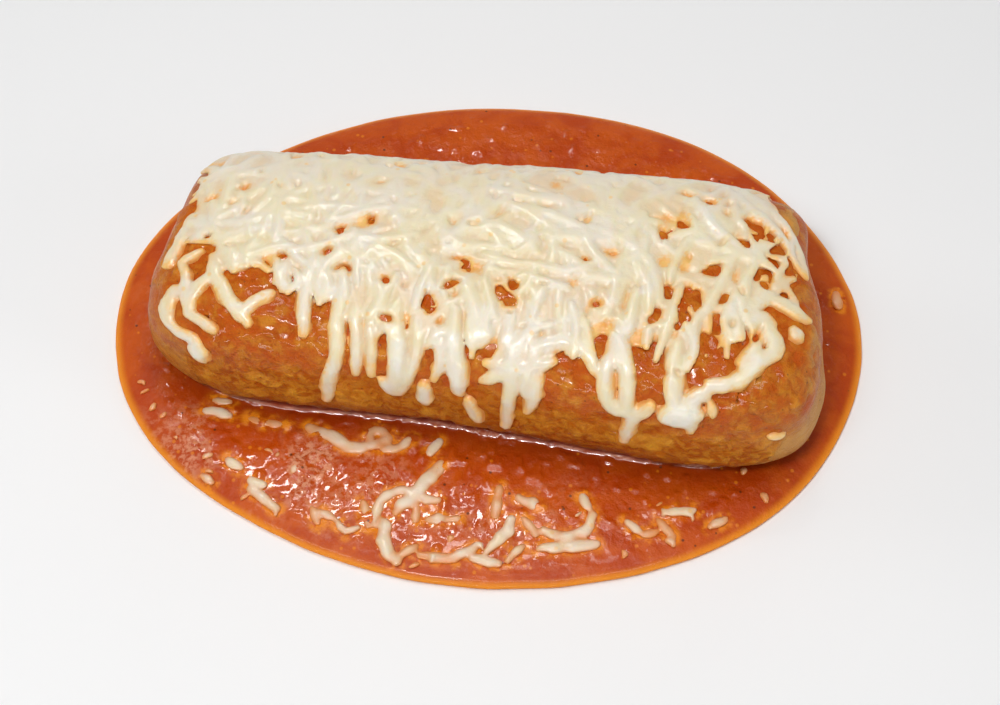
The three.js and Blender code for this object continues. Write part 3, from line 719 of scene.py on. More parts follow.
def cheese_finish(name, settings, buttery):
    finish = Finish(name)
    mottle = finish.group(mottle_group(), Place=finish.place, Blotch_Scale=60.0,
                          Grain_Scale=1200.0, Softness=0.1)
    cover = finish.mark("cover")
    colour = finish.mix(finish.maths("MULTIPLY", mottle.outputs["Blotch"], buttery),
                        settings.cream, settings.butter)
    pale = finish.maths("MULTIPLY", finish.mark("film"),
                        finish.between(finish.noise(130.0, 3.0), 0.42, 0.62, 0.1, 0.9))
    colour = finish.mix(pale, colour, settings.milky)
    # lighter where the shreds stand proud and darker in the thin hollows: partly the cheese's own
    # tone by thickness, partly painted highlight and painted shade that bring out the relief
    ridge_and_highlight = finish.between(finish.mark("thick"), 1.3, 2.2, 0.0, 0.9)
    colour = finish.mix(ridge_and_highlight, colour, settings.ridge_and_highlight)
    thin = finish.between(finish.mark("thick"), 0.6, 1.5, 0.7, 0.0)
    colour = finish.mix(thin, colour, settings.thin)
    film = finish.between(finish.mark("thick"), 0.35, 0.85, 0.95, 0.0)
    colour = finish.mix(film, colour, settings.seen_through)
    edge = finish.between(cover, 0.45, 0.95, 0.85, 0.0)
    oil = finish.maths("MULTIPLY", edge,
                       finish.between(finish.noise(230.0, 2.0), 0.38, 0.6, 0.35, 1.0))
    colour = finish.mix(oil, colour, settings.oil)
    drops = finish.maths("MULTIPLY", finish.specks(210.0, 0.2, 0.36), 0.55)
    colour = finish.mix(drops, colour, settings.oil)
    colour = finish.mix(finish.mark("stain"), colour, settings.stain)
    rough = finish.between(mottle.outputs["Grain"], 0.3, 0.7, 0.3, 0.5)
    finish.bump(finish.noise(380.0, 4.0, 0.6), 0.35, 0.8)
    finish.surface(Base_Color=colour, Roughness=rough)
    finish.surface(Coat_Weight=0.4, Coat_Roughness=0.2, Specular_IOR_Level=0.35)
    finish.surface(Subsurface_Weight=0.35, Subsurface_Radius=(1.0, 0.6, 0.3),
                   Subsurface_Scale=0.002)
    return finish.material


def sauce_finish(settings):
    finish = Finish("red_sauce")
    mottle = finish.group(mottle_group(), Place=finish.place, Blotch_Scale=80.0,
                          Grain_Scale=1100.0, Softness=0.16)
    colour = finish.mix(mottle.outputs["Blotch"], settings.sauce, settings.sauce_light)
    froth = finish.maths("MULTIPLY", finish.mark("froth"),
                         finish.between(finish.noise(420.0, 4.0, 0.65), 0.42, 0.6, 0.0, 0.85))
    colour = finish.mix(froth, colour, settings.froth)
    # painted shadow: the sauce darkens towards the roll's foot as in the roll's shadow, partly
    # also for the deeper sauce there
    colour = finish.mix(finish.maths("MULTIPLY", finish.mark("foot"), 0.85), colour,
                        settings.sauce_deep_and_shaded)
    # painted highlight: a thin pale line along the front of the roll's foot, where the bead would
    # glint
    colour = finish.mix(finish.mark("painted_highlight"), colour, settings.painted_highlight)
    halo = finish.maths("MULTIPLY", finish.mark("halo"),
                        finish.between(finish.noise(350.0, 3.0), 0.4, 0.62, 0.1, 0.9))
    colour = finish.mix(halo, colour, settings.sauce_rim)
    pulp = finish.maths("MULTIPLY", finish.specks(260.0, 0.2, 0.42), 0.5)
    colour = finish.mix(pulp, colour, settings.sauce_rim)
    pepper = finish.maths("MULTIPLY", finish.specks(190.0, 0.11, 0.5), 0.85)
    colour = finish.mix(pepper, colour, settings.herbs)
    colour = finish.mix(finish.mark("rim"), colour, settings.sauce_rim)
    rough = finish.between(finish.noise(300.0, 3.0), 0.35, 0.7, 0.16, 0.3)
    foam = finish.maths("MULTIPLY", finish.mark("froth"), finish.noise(950.0, 3.0, 0.6))
    relief = finish.maths("MULTIPLY_ADD", foam, 1.3, finish.noise(360.0, 4.0, 0.6))
    calm = finish.between(finish.mark("foot"), 0.45, 0.95, 1.0, 0.1)
    finish.bump(finish.maths("MULTIPLY", relief, calm), 0.7, 0.8)
    shore = finish.mark("shore")
    finish.surface(Base_Color=colour, Roughness=finish.maths("MULTIPLY_ADD", shore, 0.25, rough))
    finish.surface(Coat_Weight=finish.maths("MULTIPLY_ADD", shore, -0.5, 0.6))
    finish.surface(Coat_Roughness=0.07, Specular_IOR_Level=0.2)
    return finish.material


# ---- tortilla ---------------------------------------------------------------------------------


# how the rounded ends close: from and to, as shares of the last full section, and rings
END_FADES = [(0.995, 0.8, 26), (0.78, 0.02, 30)]
FLAP_RUFFLES = 14
FLAP_COLUMNS, FLAP_ROWS = 90, 40
# low relief in millimetres: height, width of the lumps, seed
TORTILLA_WAVES = (0.6, 11, 1)
TORTILLA_LUMPS = [(0.42, 4.6, 6), (0.26, 2.2, 5)]
BLISTER_HEIGHT = 0.5
RELIEF_SUNK = 0.25
FOLD_RISE, FOLD_DEPTH, FOLD_WIDTH = 1.1, 3.2, 9.0
# how dry the left end, the right end and the bare corner are
LEFT_DRY, RIGHT_DRY, CORNER_DRY = 0.3, 0.8, 0.95
FLAP_PALE = {-1: 0.2, 1: 0.85}


def ring_normals(rings):
    """Outward directions at the points of rings that close on themselves."""
    lengthways = np.gradient(rings, axis=0)
    sideways = np.roll(rings, -1, axis=1) - np.roll(rings, 1, axis=1)
    return unit(np.cross(sideways, lengthways))


def tortilla_rings(step):
    """Rings of points round the roll, one after the other along it."""
    girth = 2 * GIRTH[-1]
    sides = int(girth / step)
    around = (np.arange(sides) / sides - 0.5) * girth
    angle = angle_at(around)[None, :]
    body = np.linspace(-BODY_REACH, BODY_REACH, int(ROLL_LENGTH * BODY_REACH / step))[:, None]
    rings = [roll_point(body, section_left(body, angle), angle)]
    power = end_power(angle)
    fade = np.concatenate([np.linspace(*span) for span in END_FADES])[:, None]
    left = fade * section_left(BODY_REACH, angle)
    reach = (1 - left ** power) ** (1 / power)
    rings.insert(0, roll_point(-reach, left, angle)[::-1])
    rings.append(roll_point(reach, left, angle))
    return np.concatenate(rings)


def flap_points(side, columns, rows):
    """The two faces of a flap folded down over an end: the outer one, then the buried one."""
    edge = FLAP_EDGES[side]
    across = np.linspace(edge[0][0], edge[-1][0], columns + 1)[:, None]
    place = np.concatenate([across, np.full_like(across, side)], axis=-1)
    ruffle = 0.05 * np.sin(np.arange(columns + 1) * 1.9 * FLAP_RUFFLES / columns)
    ruffle = ruffle + 0.02 * lumps(place, 0.06, 3)
    free = (row_of(edge, across[:, 0]) + ruffle)[:, None]
    share = np.linspace(0, 1, rows + 1)[None, :]
    upward = free + (FLAP_TOP - free) * share
    across = np.broadcast_to(across, upward.shape)
    curl, curl_middle, curl_spread = FLAP_CURLS[side]
    lip = curl * hump(across, curl_middle, curl_spread) * ease(0.45, 0, share)
    outward = FLAP_THICKNESS * ease(1, 0.6, share) * ease(0.93, 0.7, np.abs(across)) + lip - 0.2
    wave = 0.35 * lumps(np.stack([across, upward], -1), 0.18, 5 + side)
    outer = on_end(side, across, upward, outward + wave)
    inner = on_end(side, across, upward, outward + wave - 1.6 - 3 * ease(0, 0.3, share))
    return np.concatenate([outer.reshape(-1, 3), inner.reshape(-1, 3)])


def tortilla_relief(rings, blister, ends):
    """How far the low waves, lumps, blisters and gathered folds stand proud of the roll."""
    height, size, seed = TORTILLA_WAVES
    relief = height * layered(rings, size, seed)
    for height, size, seed in TORTILLA_LUMPS:
        relief = relief + height * lumps(rings, size, seed)
    relief = relief + BLISTER_HEIGHT * blister - RELIEF_SUNK
    folds = np.abs(lumps(rings * (0.2, 1.0, 0.55), FOLD_WIDTH, 12))
    relief = relief + (FOLD_RISE - FOLD_DEPTH * folds) * ease(0.88, 0.97, ends)
    return relief * ease(1.0, 8.0, rings[..., 2])


def ring_dryness(rings, ends):
    """How little sauce the roll took up: least at its ends and at the corner at the back right."""
    x, y, z = np.moveaxis(rings, -1, 0)
    dry = ease(0.93, 0.985, ends) * ease(10, 30, z) * np.where(x < 0, LEFT_DRY, RIGHT_DRY)
    corner = ease(88, 97, x) * ease(2, 16, y) * ease(30, 40, z)
    return np.maximum(dry, corner * CORNER_DRY)


def flap_dryness(side, flap):
    """How little sauce a flap took up: less than the roll, and least low down."""
    pale = FLAP_PALE[side] * (1 - 0.75 * ease(24, 46, flap[:, 2]))
    return np.clip(pale + 0.3 * layered(flap, 9, 14), 0, 1)


class TortillaSettings(bpy.types.PropertyGroup):
    step: bpy.props.FloatProperty(
        name="Mesh step", description="Distance between points of the tortilla, in millimetres",
        default=0.95, min=0.5, max=4)
    blister: bpy.props.FloatVectorProperty(
        name="Blisters", description="Colour of the small baked blisters", subtype="COLOR",
        size=3, default=(0.7, 0.3, 0.025))
    golden: bpy.props.FloatVectorProperty(
        name="Golden patches", description="Colour where less sauce has soaked in",
        subtype="COLOR", size=3, default=(0.48, 0.125, 0.003))
    soaked: bpy.props.FloatVectorProperty(
        name="Soaked patches", description="Colour where sauce has soaked in", subtype="COLOR",
        size=3, default=(0.38, 0.073, 0.001))
    sauce_film: bpy.props.FloatVectorProperty(
        name="Sauce film", description="Colour of the film of sauce near the cheese",
        subtype="COLOR", size=3, default=(0.49, 0.075, 0.002))
    # painted shade low on the roll, over the sauce it has soaked up there
    foot: bpy.props.FloatVectorProperty(
        name="Shaded foot", description="Colour near the pool", subtype="COLOR", size=3,
        default=(0.24, 0.038, 0.003))
    bare: bpy.props.FloatVectorProperty(
        name="Bare ends", description="Colour of the folded ends", subtype="COLOR", size=3,
        default=(0.62, 0.31, 0.075))
    char: bpy.props.FloatVectorProperty(
        name="Griddle specks", description="Colour of the small dark specks", subtype="COLOR",
        size=3, default=(0.12, 0.035, 0.008))


class BURRITO_OT_tortilla(bpy.types.Operator):
    """Make the rolled tortilla with its folded ends"""

    bl_idname = "burrito.tortilla"
    bl_label = "Tortilla roll"

    def execute(self, context):
        settings = context.scene.burrito_tortilla
        rings = tortilla_rings(settings.step)
        normals = ring_normals(rings)
        blister = ease(0.05, 0.65, lumps(rings, 5.5, 8) + 0.35 * lumps(rings, 2.3, 9))
        ends = np.abs(rings[..., 0] - ROLL_CENTRE[0]) / (ROLL_LENGTH / 2)
        rings = rings + normals * tortilla_relief(rings, blister, ends)[..., None]
        count, sides = rings.shape[:2]
        poles = place_on_roll(np.array([-1.0, 1.0]), np.zeros(2), np.zeros(2))
        points = [poles[:1], rings.reshape(-1, 3), poles[1:]]
        faces = tube_faces(count, sides)
        dry = [np.zeros(1), ring_dryness(rings, ends).ravel(), np.zeros(1)]
        blister = [np.zeros(1), blister.ravel(), np.zeros(1)]
        start = count * sides + 2
        for side in (-1, 1):
            flap = flap_points(side, FLAP_COLUMNS, FLAP_ROWS)
            points.append(flap)
            faces += [tuple(start + i for i in face)
                      for face in slab_faces(FLAP_COLUMNS, FLAP_ROWS, side < 0)]
            dry.append(flap_dryness(side, flap))
            blister.append(ease(0.1, 0.7, lumps(flap, 5.5, 8)))
            start += len(flap)
        points = np.concatenate(points)
        dry = np.concatenate(dry)
        film = ease(26, 44, points[:, 2]) * 0.9 * (1 - dry)
        piece = piece_of("tortilla", points, faces, {
            "dry": dry, "film": film, "height": points[:, 2],
            "blister": np.concatenate(blister),
        }, "tortilla_roll")
        piece.data.materials.append(tortilla_finish(settings))
        return {"FINISHED"}


# ---- melted cheese ----------------------------------------------------------------------------

# sizes of the shreds in millimetres, and how flat and how sunk they are
SHRED_WIDTHS = (2.6, 4.0)
SHRED_HALF_LENGTHS = (5, 13.5)
SHRED_BOW = 2.5
SHRED_FLATNESS = 0.52
# how wide the bare spots are cut before and after the shreds are laid
SPOT_BEFORE, SPOT_AFTER = 1.5, 0.72
# how deep the sheet reaches into the roll, and how round its edges are
SHEET_BURIED, EDGE_ROUNDING = 0.7, 0.6

# places where the tortilla shows through the cheese: along, around, how wide
BARE_SPOTS = [
    (-94, -34, 2.9), (-72, -21, 1.4), (-94, -15, 2.3), (-85, -13, 1.7), (-81, -8, 1.6),
    (-49, -28, 1.4), (-38, -34, 1.3), (-83, 6, 1.3), (-52, 5, 1.3), (-2, -23, 1.2),
    (-14, -11, 1.2), (-7, -11, 1.3), (-12, 15, 3.1), (-2, 9, 1.4), (-31, 16, 1.3),
    (-30, 30, 2.3), (-30, 36, 1.2), (-10, 39, 1.0), (7, 18, 4.1), (4, 14, 1.6), (-7, -34, 1.2),
    (-79, -27, 1.0), (8, 11, 2.5), (8, 18, 2.7), (21, 1, 1.4), (35, 14, 2.5), (32, 19, 1.4),
    (39, 22, 1.3), (18, 10, 1.3), (13, 27, 1.3), (23, 27, 1.4), (47, 6, 1.2), (61, 12, 1.3),
    (54, 21, 1.0), (77, 16, 1.3), (79, 4, 1.6), (86, 0, 2.5), (87, 9, 1.2), (85, 18, 2.5),
    (95, -11, 2.7), (83, -21, 4.0), (88, -17, 1.7), (79, -24, 1.4), (53, -13, 1.3),
    (15, -8, 1.2), (29, -16, 1.0), (72, -13, 1.3), (24, -39, 2.3), (36, -32, 1.0),
    (67, -29, 2.3), (73, -29, 1.3), (59, -24, 1.0), (37, 29, 1.6), (67, 35, 3.6), (54, 35, 3.6),
    (26, 45, 3.6), (27, 55, 3.6),
]


def bare_corner(along, around):
    """How far a place is inside the corner at the back right that the cheese leaves bare."""
    return (along - 82) * 0.87 - (around + 47) * 0.49


def back_edge(along):
    """The ragged edge of the sheet at the back, as a distance round from the top."""
    return -(BACK_HANG + BACK_WAVE * np.sin(along / 9) * np.sin(along / 23 + 1))


def melt_sheet(dough, thickness):
    """Lays the sheet with its ragged edge and small holes, and says how far outside it is."""
    place = dough.plane()
    along, around = place[..., 0], place[..., 1]
    front = row_of(FRONT_EDGE, along) - 3
    rag = 2.4 * lumps(place, 7, 21) + 0.8 * lumps(place, 2.6, 22)
    outside = np.maximum(around - front, back_edge(along) - around)
    outside = np.maximum(outside, np.maximum(along - SHEET_ENDS[1], SHEET_ENDS[0] - along)) + rag
    outside = np.maximum(outside, bare_corner(along, around) + 0.5 * rag)
    openness = ease(-25, 22, around) * 0.3 + ease(40, 90, np.abs(along + 6)) * 0.12
    openness = openness + 0.34 * ease(40, 70, along) * ease(-32, -8, around)
    holes = (lumps(place, 5.2, 31) * 0.8 + 0.45 * lumps(place, 2.0, 32) + openness - 0.48) * 3.4
    body = thickness + 0.35 * lumps(place, 8, 41) + 0.25 * lumps(place, 3.4, 42)
    body = body * (0.55 + 0.45 * ease(0, -7, outside))
    edge = np.maximum(outside, holes)[..., None]
    flat = np.maximum(dough.w - body[..., None], -dough.w - SHEET_BURIED)
    rounded = np.minimum(np.maximum(flat, edge), 0) + np.hypot(
        np.maximum(flat + EDGE_ROUNDING, 0), np.maximum(edge + EDGE_ROUNDING, 0)) - EDGE_ROUNDING
    far = np.clip(np.maximum(rounded, np.maximum(flat, edge)), -FAR_AWAY, FAR_AWAY)
    dough.far = far.astype(np.float32)
    return outside


def cut_spots(dough, share):
    """Opens the bare spots at a share of their width."""
    for i, (a, r, wide) in enumerate(BARE_SPOTS):
        dough.open_hole(a, r, wide * share, 61 + i)


def lay_shreds(dough, settings):
    """Lays the shreds that still show on the sheet, and leaves most out at its open right side."""
    random = np.random.default_rng(settings.seed)
    left, right = SHEET_ENDS[0] + 3, SHEET_ENDS[1] - 3
    for i in range(settings.shreds):
        a = left + (right - left) * (i + random.random()) / settings.shreds
        low, high = -BACK_HANG - 1, row_of(FRONT_EDGE, a) - 1
        r = low + (high - low) * random.random()
        if bare_corner(a, r) > -3 or (a > 46 and r > -26 and i % 5 > 1):
            continue
        lean = ease(6, 20, r)
        turn = random.uniform(0, math.pi) * (1 - lean) + lean * random.normal(math.pi / 2, 0.35)
        half = random.uniform(*SHRED_HALF_LENGTHS) * (1 - 0.3 * lean)
        bow = random.uniform(-SHRED_BOW, SHRED_BOW)
        reach = np.array([math.cos(turn), math.sin(turn)]) * half
        side = np.array([-math.sin(turn), math.cos(turn)]) * bow
        bends = [np.array([a, r]) + reach * end + side * (1 - end * end) for end in (-1, 0, 1)]
        bends = np.clip(bends, (-101, -51), (101.5, high + 4.5))
        width = random.uniform(*SHRED_WIDTHS)
        lift = 0.35 + 1.0 * random.random()
        dough.add_strand(smooth_bends(bends, 2.5), width, width * SHRED_FLATNESS, lift, 0.7,
                         0.08, i)


def hang_strands(dough):
    """Hangs the strands from the sheet, each with a thin wider foot on the tortilla."""
    for i, (width, *bends) in enumerate(DRIPS):
        path = smooth_bends(bends, 2.0)
        dough.add_strand(path, width * 1.04, max(width * 0.56, 2.6), 0.5, 1.1, 0.13, 500 + i)
        dough.add_strand(path, width + 1.6, 1.8, -0.45, 0.4, 0.25, 600 + i)


def fill_gaps(dough, outside):
    """Lays a thin film where the shreds lie close together."""
    covered = blurred((dough.top() > 0.1).astype(float), max(1, round(1.3 / dough.step)))
    film = 2.05 * ease(0.55, 0.78, covered) * ease(2, -2, outside) - 1.5
    film = np.maximum(dough.w - film[..., None], -dough.w - SHEET_BURIED)
    dough.melt((slice(None), slice(None), slice(None)), film.astype(np.float32), 0.6)


def blanket_dough(settings):
    """The melted sheet, the shreds that still show on it and the strands that hang from it."""
    dough = Dough((-106, -60, -1.3), (106, 68, 4.4), settings.step)
    outside = melt_sheet(dough, settings.thickness)
    cut_spots(dough, SPOT_BEFORE)
    lay_shreds(dough, settings)
    hang_strands(dough)
    cut_spots(dough, SPOT_AFTER)
    fill_gaps(dough, outside)
    return dough


class CheeseSettings(bpy.types.PropertyGroup):
    step: bpy.props.FloatProperty(
        name="Mesh step", description="Distance between points of the cheese, in millimetres",
        default=0.72, min=0.4, max=3)
    thickness: bpy.props.FloatProperty(
        name="Sheet thickness", description="Thickness of the melted sheet, in millimetres",
        default=1.0, min=0.5, max=3)
    shreds: bpy.props.IntProperty(
        name="Shreds", description="Number of shreds that still show in the sheet",
        default=600, min=0, max=900)
    seed: bpy.props.IntProperty(
        name="Seed", description="Another number lays the shreds another way", default=11)
    crumbs: bpy.props.IntProperty(
        name="Crumbs", description="Number of small bits of cheese in the sauce", default=26,
        min=0, max=300)
    cream: bpy.props.FloatVectorProperty(
        name="Cream", description="Colour of the thick melted cheese", subtype="COLOR", size=3,
        default=(0.765, 0.685, 0.55))
    # partly a painted highlight on the proud shreds
    ridge_and_highlight: bpy.props.FloatVectorProperty(
        name="Ridges", description="Colour of the shreds that stand proud", subtype="COLOR",
        size=3, default=(0.82, 0.775, 0.67))
    butter: bpy.props.FloatVectorProperty(
        name="Butter", description="Colour of the yellower patches", subtype="COLOR", size=3,
        default=(0.78, 0.66, 0.35))
    milky: bpy.props.FloatVectorProperty(
        name="Milky film", description="Colour of the smooth film towards the back",
        subtype="COLOR", size=3, default=(0.76, 0.65, 0.5))
    # partly painted shade in the thin hollows between shreds, partly the tortilla showing through
    thin: bpy.props.FloatVectorProperty(
        name="Thin cheese", description="Colour where the tortilla shows through",
        subtype="COLOR", size=3, default=(0.75, 0.54, 0.32))
    seen_through: bpy.props.FloatVectorProperty(
        name="Seen through", description="Colour where a bare film lets the tortilla glow through",
        subtype="COLOR", size=3, default=(0.8, 0.33, 0.05))
    oil: bpy.props.FloatVectorProperty(
        name="Oily edges", description="Colour of the oily rims of holes and strands",
        subtype="COLOR", size=3, default=(0.85, 0.53, 0.16))
    stain: bpy.props.FloatVectorProperty(
        name="Sauce stain", description="Colour where the cheese has taken up sauce",
        subtype="COLOR", size=3, default=(0.7, 0.22, 0.04))


def cheese_marks(dough, places):
    """How thick the cheese is at each place, and how much of its surroundings it covers."""
    top = dough.top()
    covered = (top > 0.25).astype(float)
    reach = max(1, round(1.2 / dough.step))
    return {
        "thick": looked_up(blurred(np.clip(top, 0, 4), 1), dough, places),
        "cover": looked_up(blurred(covered, reach), dough, places),
    }


class BURRITO_OT_cheese(bpy.types.Operator):
    """Melt the blanket of cheese over the roll"""

    bl_idname = "burrito.cheese"
    bl_label = "Melted cheese"

    def execute(self, context):
        settings = context.scene.burrito_cheese
        dough = blanket_dough(settings)
        places, faces = dough.surface()
        along, around, lift = places.T
        surface = draped(along, around)
        outward = draped_normal(along, around)
        points = surface + outward * lift[:, None]
        marks = cheese_marks(dough, places)
        marks["stain"] = ease(0.8, 0.1, lift) * ease(0.9, 0.5, marks["cover"]) * 0.6
        marks["film"] = ease(-14, -34, around) + 0.3 * ease(70, 95, np.abs(along))
        piece = piece_of("melted_cheese", points, faces, marks, "cheese_blanket")
        piece.data.materials.append(cheese_finish("melted_cheese", settings, 0.55))
        return {"FINISHED"}


# ---- sauce ------------------------------------------------------------------------------------


# how far inside the roll's side the sauce starts and ends, and at what height it ends
SAUCE_START, SAUCE_TUCK, SAUCE_TUCK_HEIGHT = 4, 6, 2.0
# how closely its rings crowd at the roll and at the rim, and how uneven the rim is
RING_CROWDING, RIM_WOBBLE = 0.11, 0.0016
# the sauce climbs the roll: height and reach of the climb, then height, place and width of a bead
CLIMB, CLIMB_REACH = 1.6, 4
BEAD, BEAD_PLACE, BEAD_WIDTH = 1.3, 4.2, 1.6
# place and width of a painted highlight: a thin pale line painted along the roll's foot in place
# of the bead's glint
HIGHLIGHT_LINE_PLACE, HIGHLIGHT_LINE_WIDTH = 5.7, 0.3
# how far from the roll's foot the painted shadow on the sauce reaches
SHADE_REACH = 13


def outline_at(angle, share):
    """The egg-shaped outline of the pool, or a smaller one at a share of its size."""
    egg = 1 - POOL_EGG * np.cos(3 * angle) + POOL_WAVE * np.sin(7 * angle + 1)
    x = POOL_HALF_LENGTH * np.cos(angle) * egg * share
    y = POOL_HALF_WIDTH * np.sin(angle) * egg * share
    cos, sin = math.cos(POOL_TURN), math.sin(POOL_TURN)
    return np.stack([x * cos - y * sin, x * sin + y * cos], axis=-1)


def pool_middle():
    """The middle of the outline's box, which is the origin of the part."""
    rim = outline_at(np.linspace(0, 2 * math.pi, 81), 1)
    return (rim.min(0) + rim.max(0)) / 2


POOL_MIDDLE = pool_middle()


def foot_reach(angle):
    """How far the roll's side is from its middle at the top of the sauce, in each direction."""
    rings = tortilla_rings(1.0).reshape(-1, 3)
    level = rings[np.abs(rings[:, 2] - POOL_DEPTH) < 0.9]
    off = level[:, :2] - ROLL_CENTRE
    parts = 240
    part = np.floor(np.arctan2(off[:, 1], off[:, 0]) / (2 * math.pi) * parts).astype(int) % parts
    total = np.bincount(part, np.linalg.norm(off, axis=-1), parts)
    mean = total / np.maximum(np.bincount(part, minlength=parts), 1)
    turn = (np.arange(parts) + 0.5) / parts * 2 * math.pi
    return np.interp(angle, turn[mean > 0], mean[mean > 0], period=2 * math.pi)


def froth_share(place):
    """How frothy the sauce is: most of all in patches towards the front left."""
    x, y = place[..., 0], place[..., 1]
    zone = 1.2 * hump(x, -64, 38) * hump(y, -60, 20) + 0.5 * hump(x, 22, 30) * hump(y, -70, 14)
    zone = zone + 0.35 * hump(x, -108, 10) * hump(y, -4, 20)
    return zone * ease(-0.35, 0.5, layered(place, 13, 71))


def distance_to(spots, place):
    """How far each place is from the nearest of the spots."""
    nearest = np.full(place.shape[:-1], 99.0)
    for spot in spots:
        nearest = np.minimum(nearest, np.hypot(*np.moveaxis(place - spot, -1, 0)))
    return nearest


def halo_share(place):
    """How near the sauce is to a loose shred, which has let its oil go round itself."""
    bits = np.concatenate([smooth_bends(bends, 2.5) for width, *bends in LOOSE_SHREDS])
    return ease(4.2, 1.6, distance_to(bits, place))


def sauce_height(place, share, from_foot):
    """Height of the sauce, by the share of the way to the rim and the distance from the roll."""
    body = POOL_EDGE_DEPTH + (POOL_DEPTH - POOL_EDGE_DEPTH) * np.sqrt(
        1 - np.clip(share, 0, 1) ** POOL_EDGE_POWER)
    calm = (1 - ease(0.86, 1, share)) * ease(1.0, 9.0, from_foot)
    froth = froth_share(place)
    lump = 0.32 * layered(place, 11, 72) + 0.16 * lumps(place, 3.4, 73)
    lump = lump + 0.5 * ease(0.3, 0.75, lumps(place, 3.2, 76))
    lump = lump + froth * (0.6 * lumps(place, 3.6, 74) + 0.4 * np.abs(lumps(place, 1.9, 75)))
    climb = CLIMB * np.exp(-np.clip(from_foot, 0, None) / CLIMB_REACH)
    climb = climb + BEAD * hump(from_foot, BEAD_PLACE, BEAD_WIDTH)
    return body + calm * lump + climb * (1 - ease(0.8, 0.98, share))


def pool_places(angle, rim, start, count):
    """Rings of places from the start out to the uneven rim, and how far out each place is."""
    share = np.linspace(0, 1, count + 1)[:, None, None]
    share = share - RING_CROWDING * np.sin(2 * math.pi * share)
    place = start + (rim - start) * share
    from_middle = np.linalg.norm(place + POOL_MIDDLE, axis=-1)
    to_rim = np.linalg.norm(rim + POOL_MIDDLE, axis=-1)
    out = from_middle / to_rim
    around = np.stack([np.cos(angle), np.sin(angle)], -1)
    wobble = 1 + RIM_WOBBLE * lumps(around, 0.09, 77)
    place = (place + POOL_MIDDLE) * (1 - (1 - wobble[None, :, None]) * out[..., None] ** 6)
    return place - POOL_MIDDLE, out


def closed_pool(rings, rim, inner):
    """The pool's rings from its underside over the rim and in to its end inside the roll."""
    under = (rim + POOL_MIDDLE) * (1 - POOL_EDGE_INSET / POOL_HALF_WIDTH) - POOL_MIDDLE
    bottom = np.concatenate([under, np.zeros((len(under), 1))], -1)[None]
    inner = np.concatenate([inner, np.full((len(inner), 1), SAUCE_TUCK_HEIGHT)], -1)[None]
    return np.concatenate([np.concatenate([rings, bottom])[::-1], inner])


def sauce_marks(place, out, from_foot):
    """What colours the sauce, in the order of the closed pool's points."""
    # the painted highlight along the foot, at the front only
    painted_highlight = hump(from_foot, HIGHLIGHT_LINE_PLACE, HIGHLIGHT_LINE_WIDTH) * (0.4 + 0.4 * lumps(place, 4, 78))
    # foot carries the painted shadow near the roll, and calms the relief there
    marks = {"rim": ease(0.972, 1.0, out), "foot": hump(from_foot, 0, SHADE_REACH),
             "froth": froth_share(place), "painted_highlight": painted_highlight * ease(10, -20, place[..., 1]),
             "halo": halo_share(place), "shore": ease(0.87, 0.96, out)}
    for name, values in marks.items():
        values = np.concatenate([values, values[-1:]])[::-1]
        values = np.concatenate([values, values[-1:]]).ravel()
        marks[name] = np.concatenate([[0], values, [0]])
    return marks


class SauceSettings(bpy.types.PropertyGroup):
    rings: bpy.props.IntProperty(
        name="Rings", description="Rings of points between the roll and the edge", default=104,
        min=8, max=200)
    sides: bpy.props.IntProperty(
        name="Sides", description="Points round the edge of the pool", default=900, min=60,
        max=2000)
    sauce: bpy.props.FloatVectorProperty(
        name="Sauce", description="Main colour of the sauce", subtype="COLOR", size=3,
        default=(0.45, 0.05, 0.0015))
    sauce_light: bpy.props.FloatVectorProperty(
        name="Lighter sauce", description="Colour of its lighter swirls", subtype="COLOR",
        size=3, default=(0.55, 0.085, 0.003))
    # painted shadow near the roll, over the darker, deeper sauce there
    sauce_deep_and_shaded: bpy.props.FloatVectorProperty(
        name="Deep and shaded sauce", description="Colour close to the roll", subtype="COLOR", size=3,
        default=(0.24, 0.02, 0.002))
    sauce_rim: bpy.props.FloatVectorProperty(
        name="Thin edge", description="Colour of the thin edge of the pool", subtype="COLOR",
        size=3, default=(0.82, 0.26, 0.012))
    herbs: bpy.props.FloatVectorProperty(
        name="Herbs", description="Colour of the small dark specks in the sauce",
        subtype="COLOR", size=3, default=(0.09, 0.022, 0.006))
    froth: bpy.props.FloatVectorProperty(
        name="Froth", description="Colour of the frothy patches", subtype="COLOR", size=3,
        default=(0.78, 0.36, 0.2))
    # colour of the painted highlight, a thin pale line along the roll's foot
    painted_highlight: bpy.props.FloatVectorProperty(
        name="Painted highlight", description="Colour of the thin line of fat along the foot of the roll",
        subtype="COLOR", size=3, default=(0.85, 0.42, 0.27))


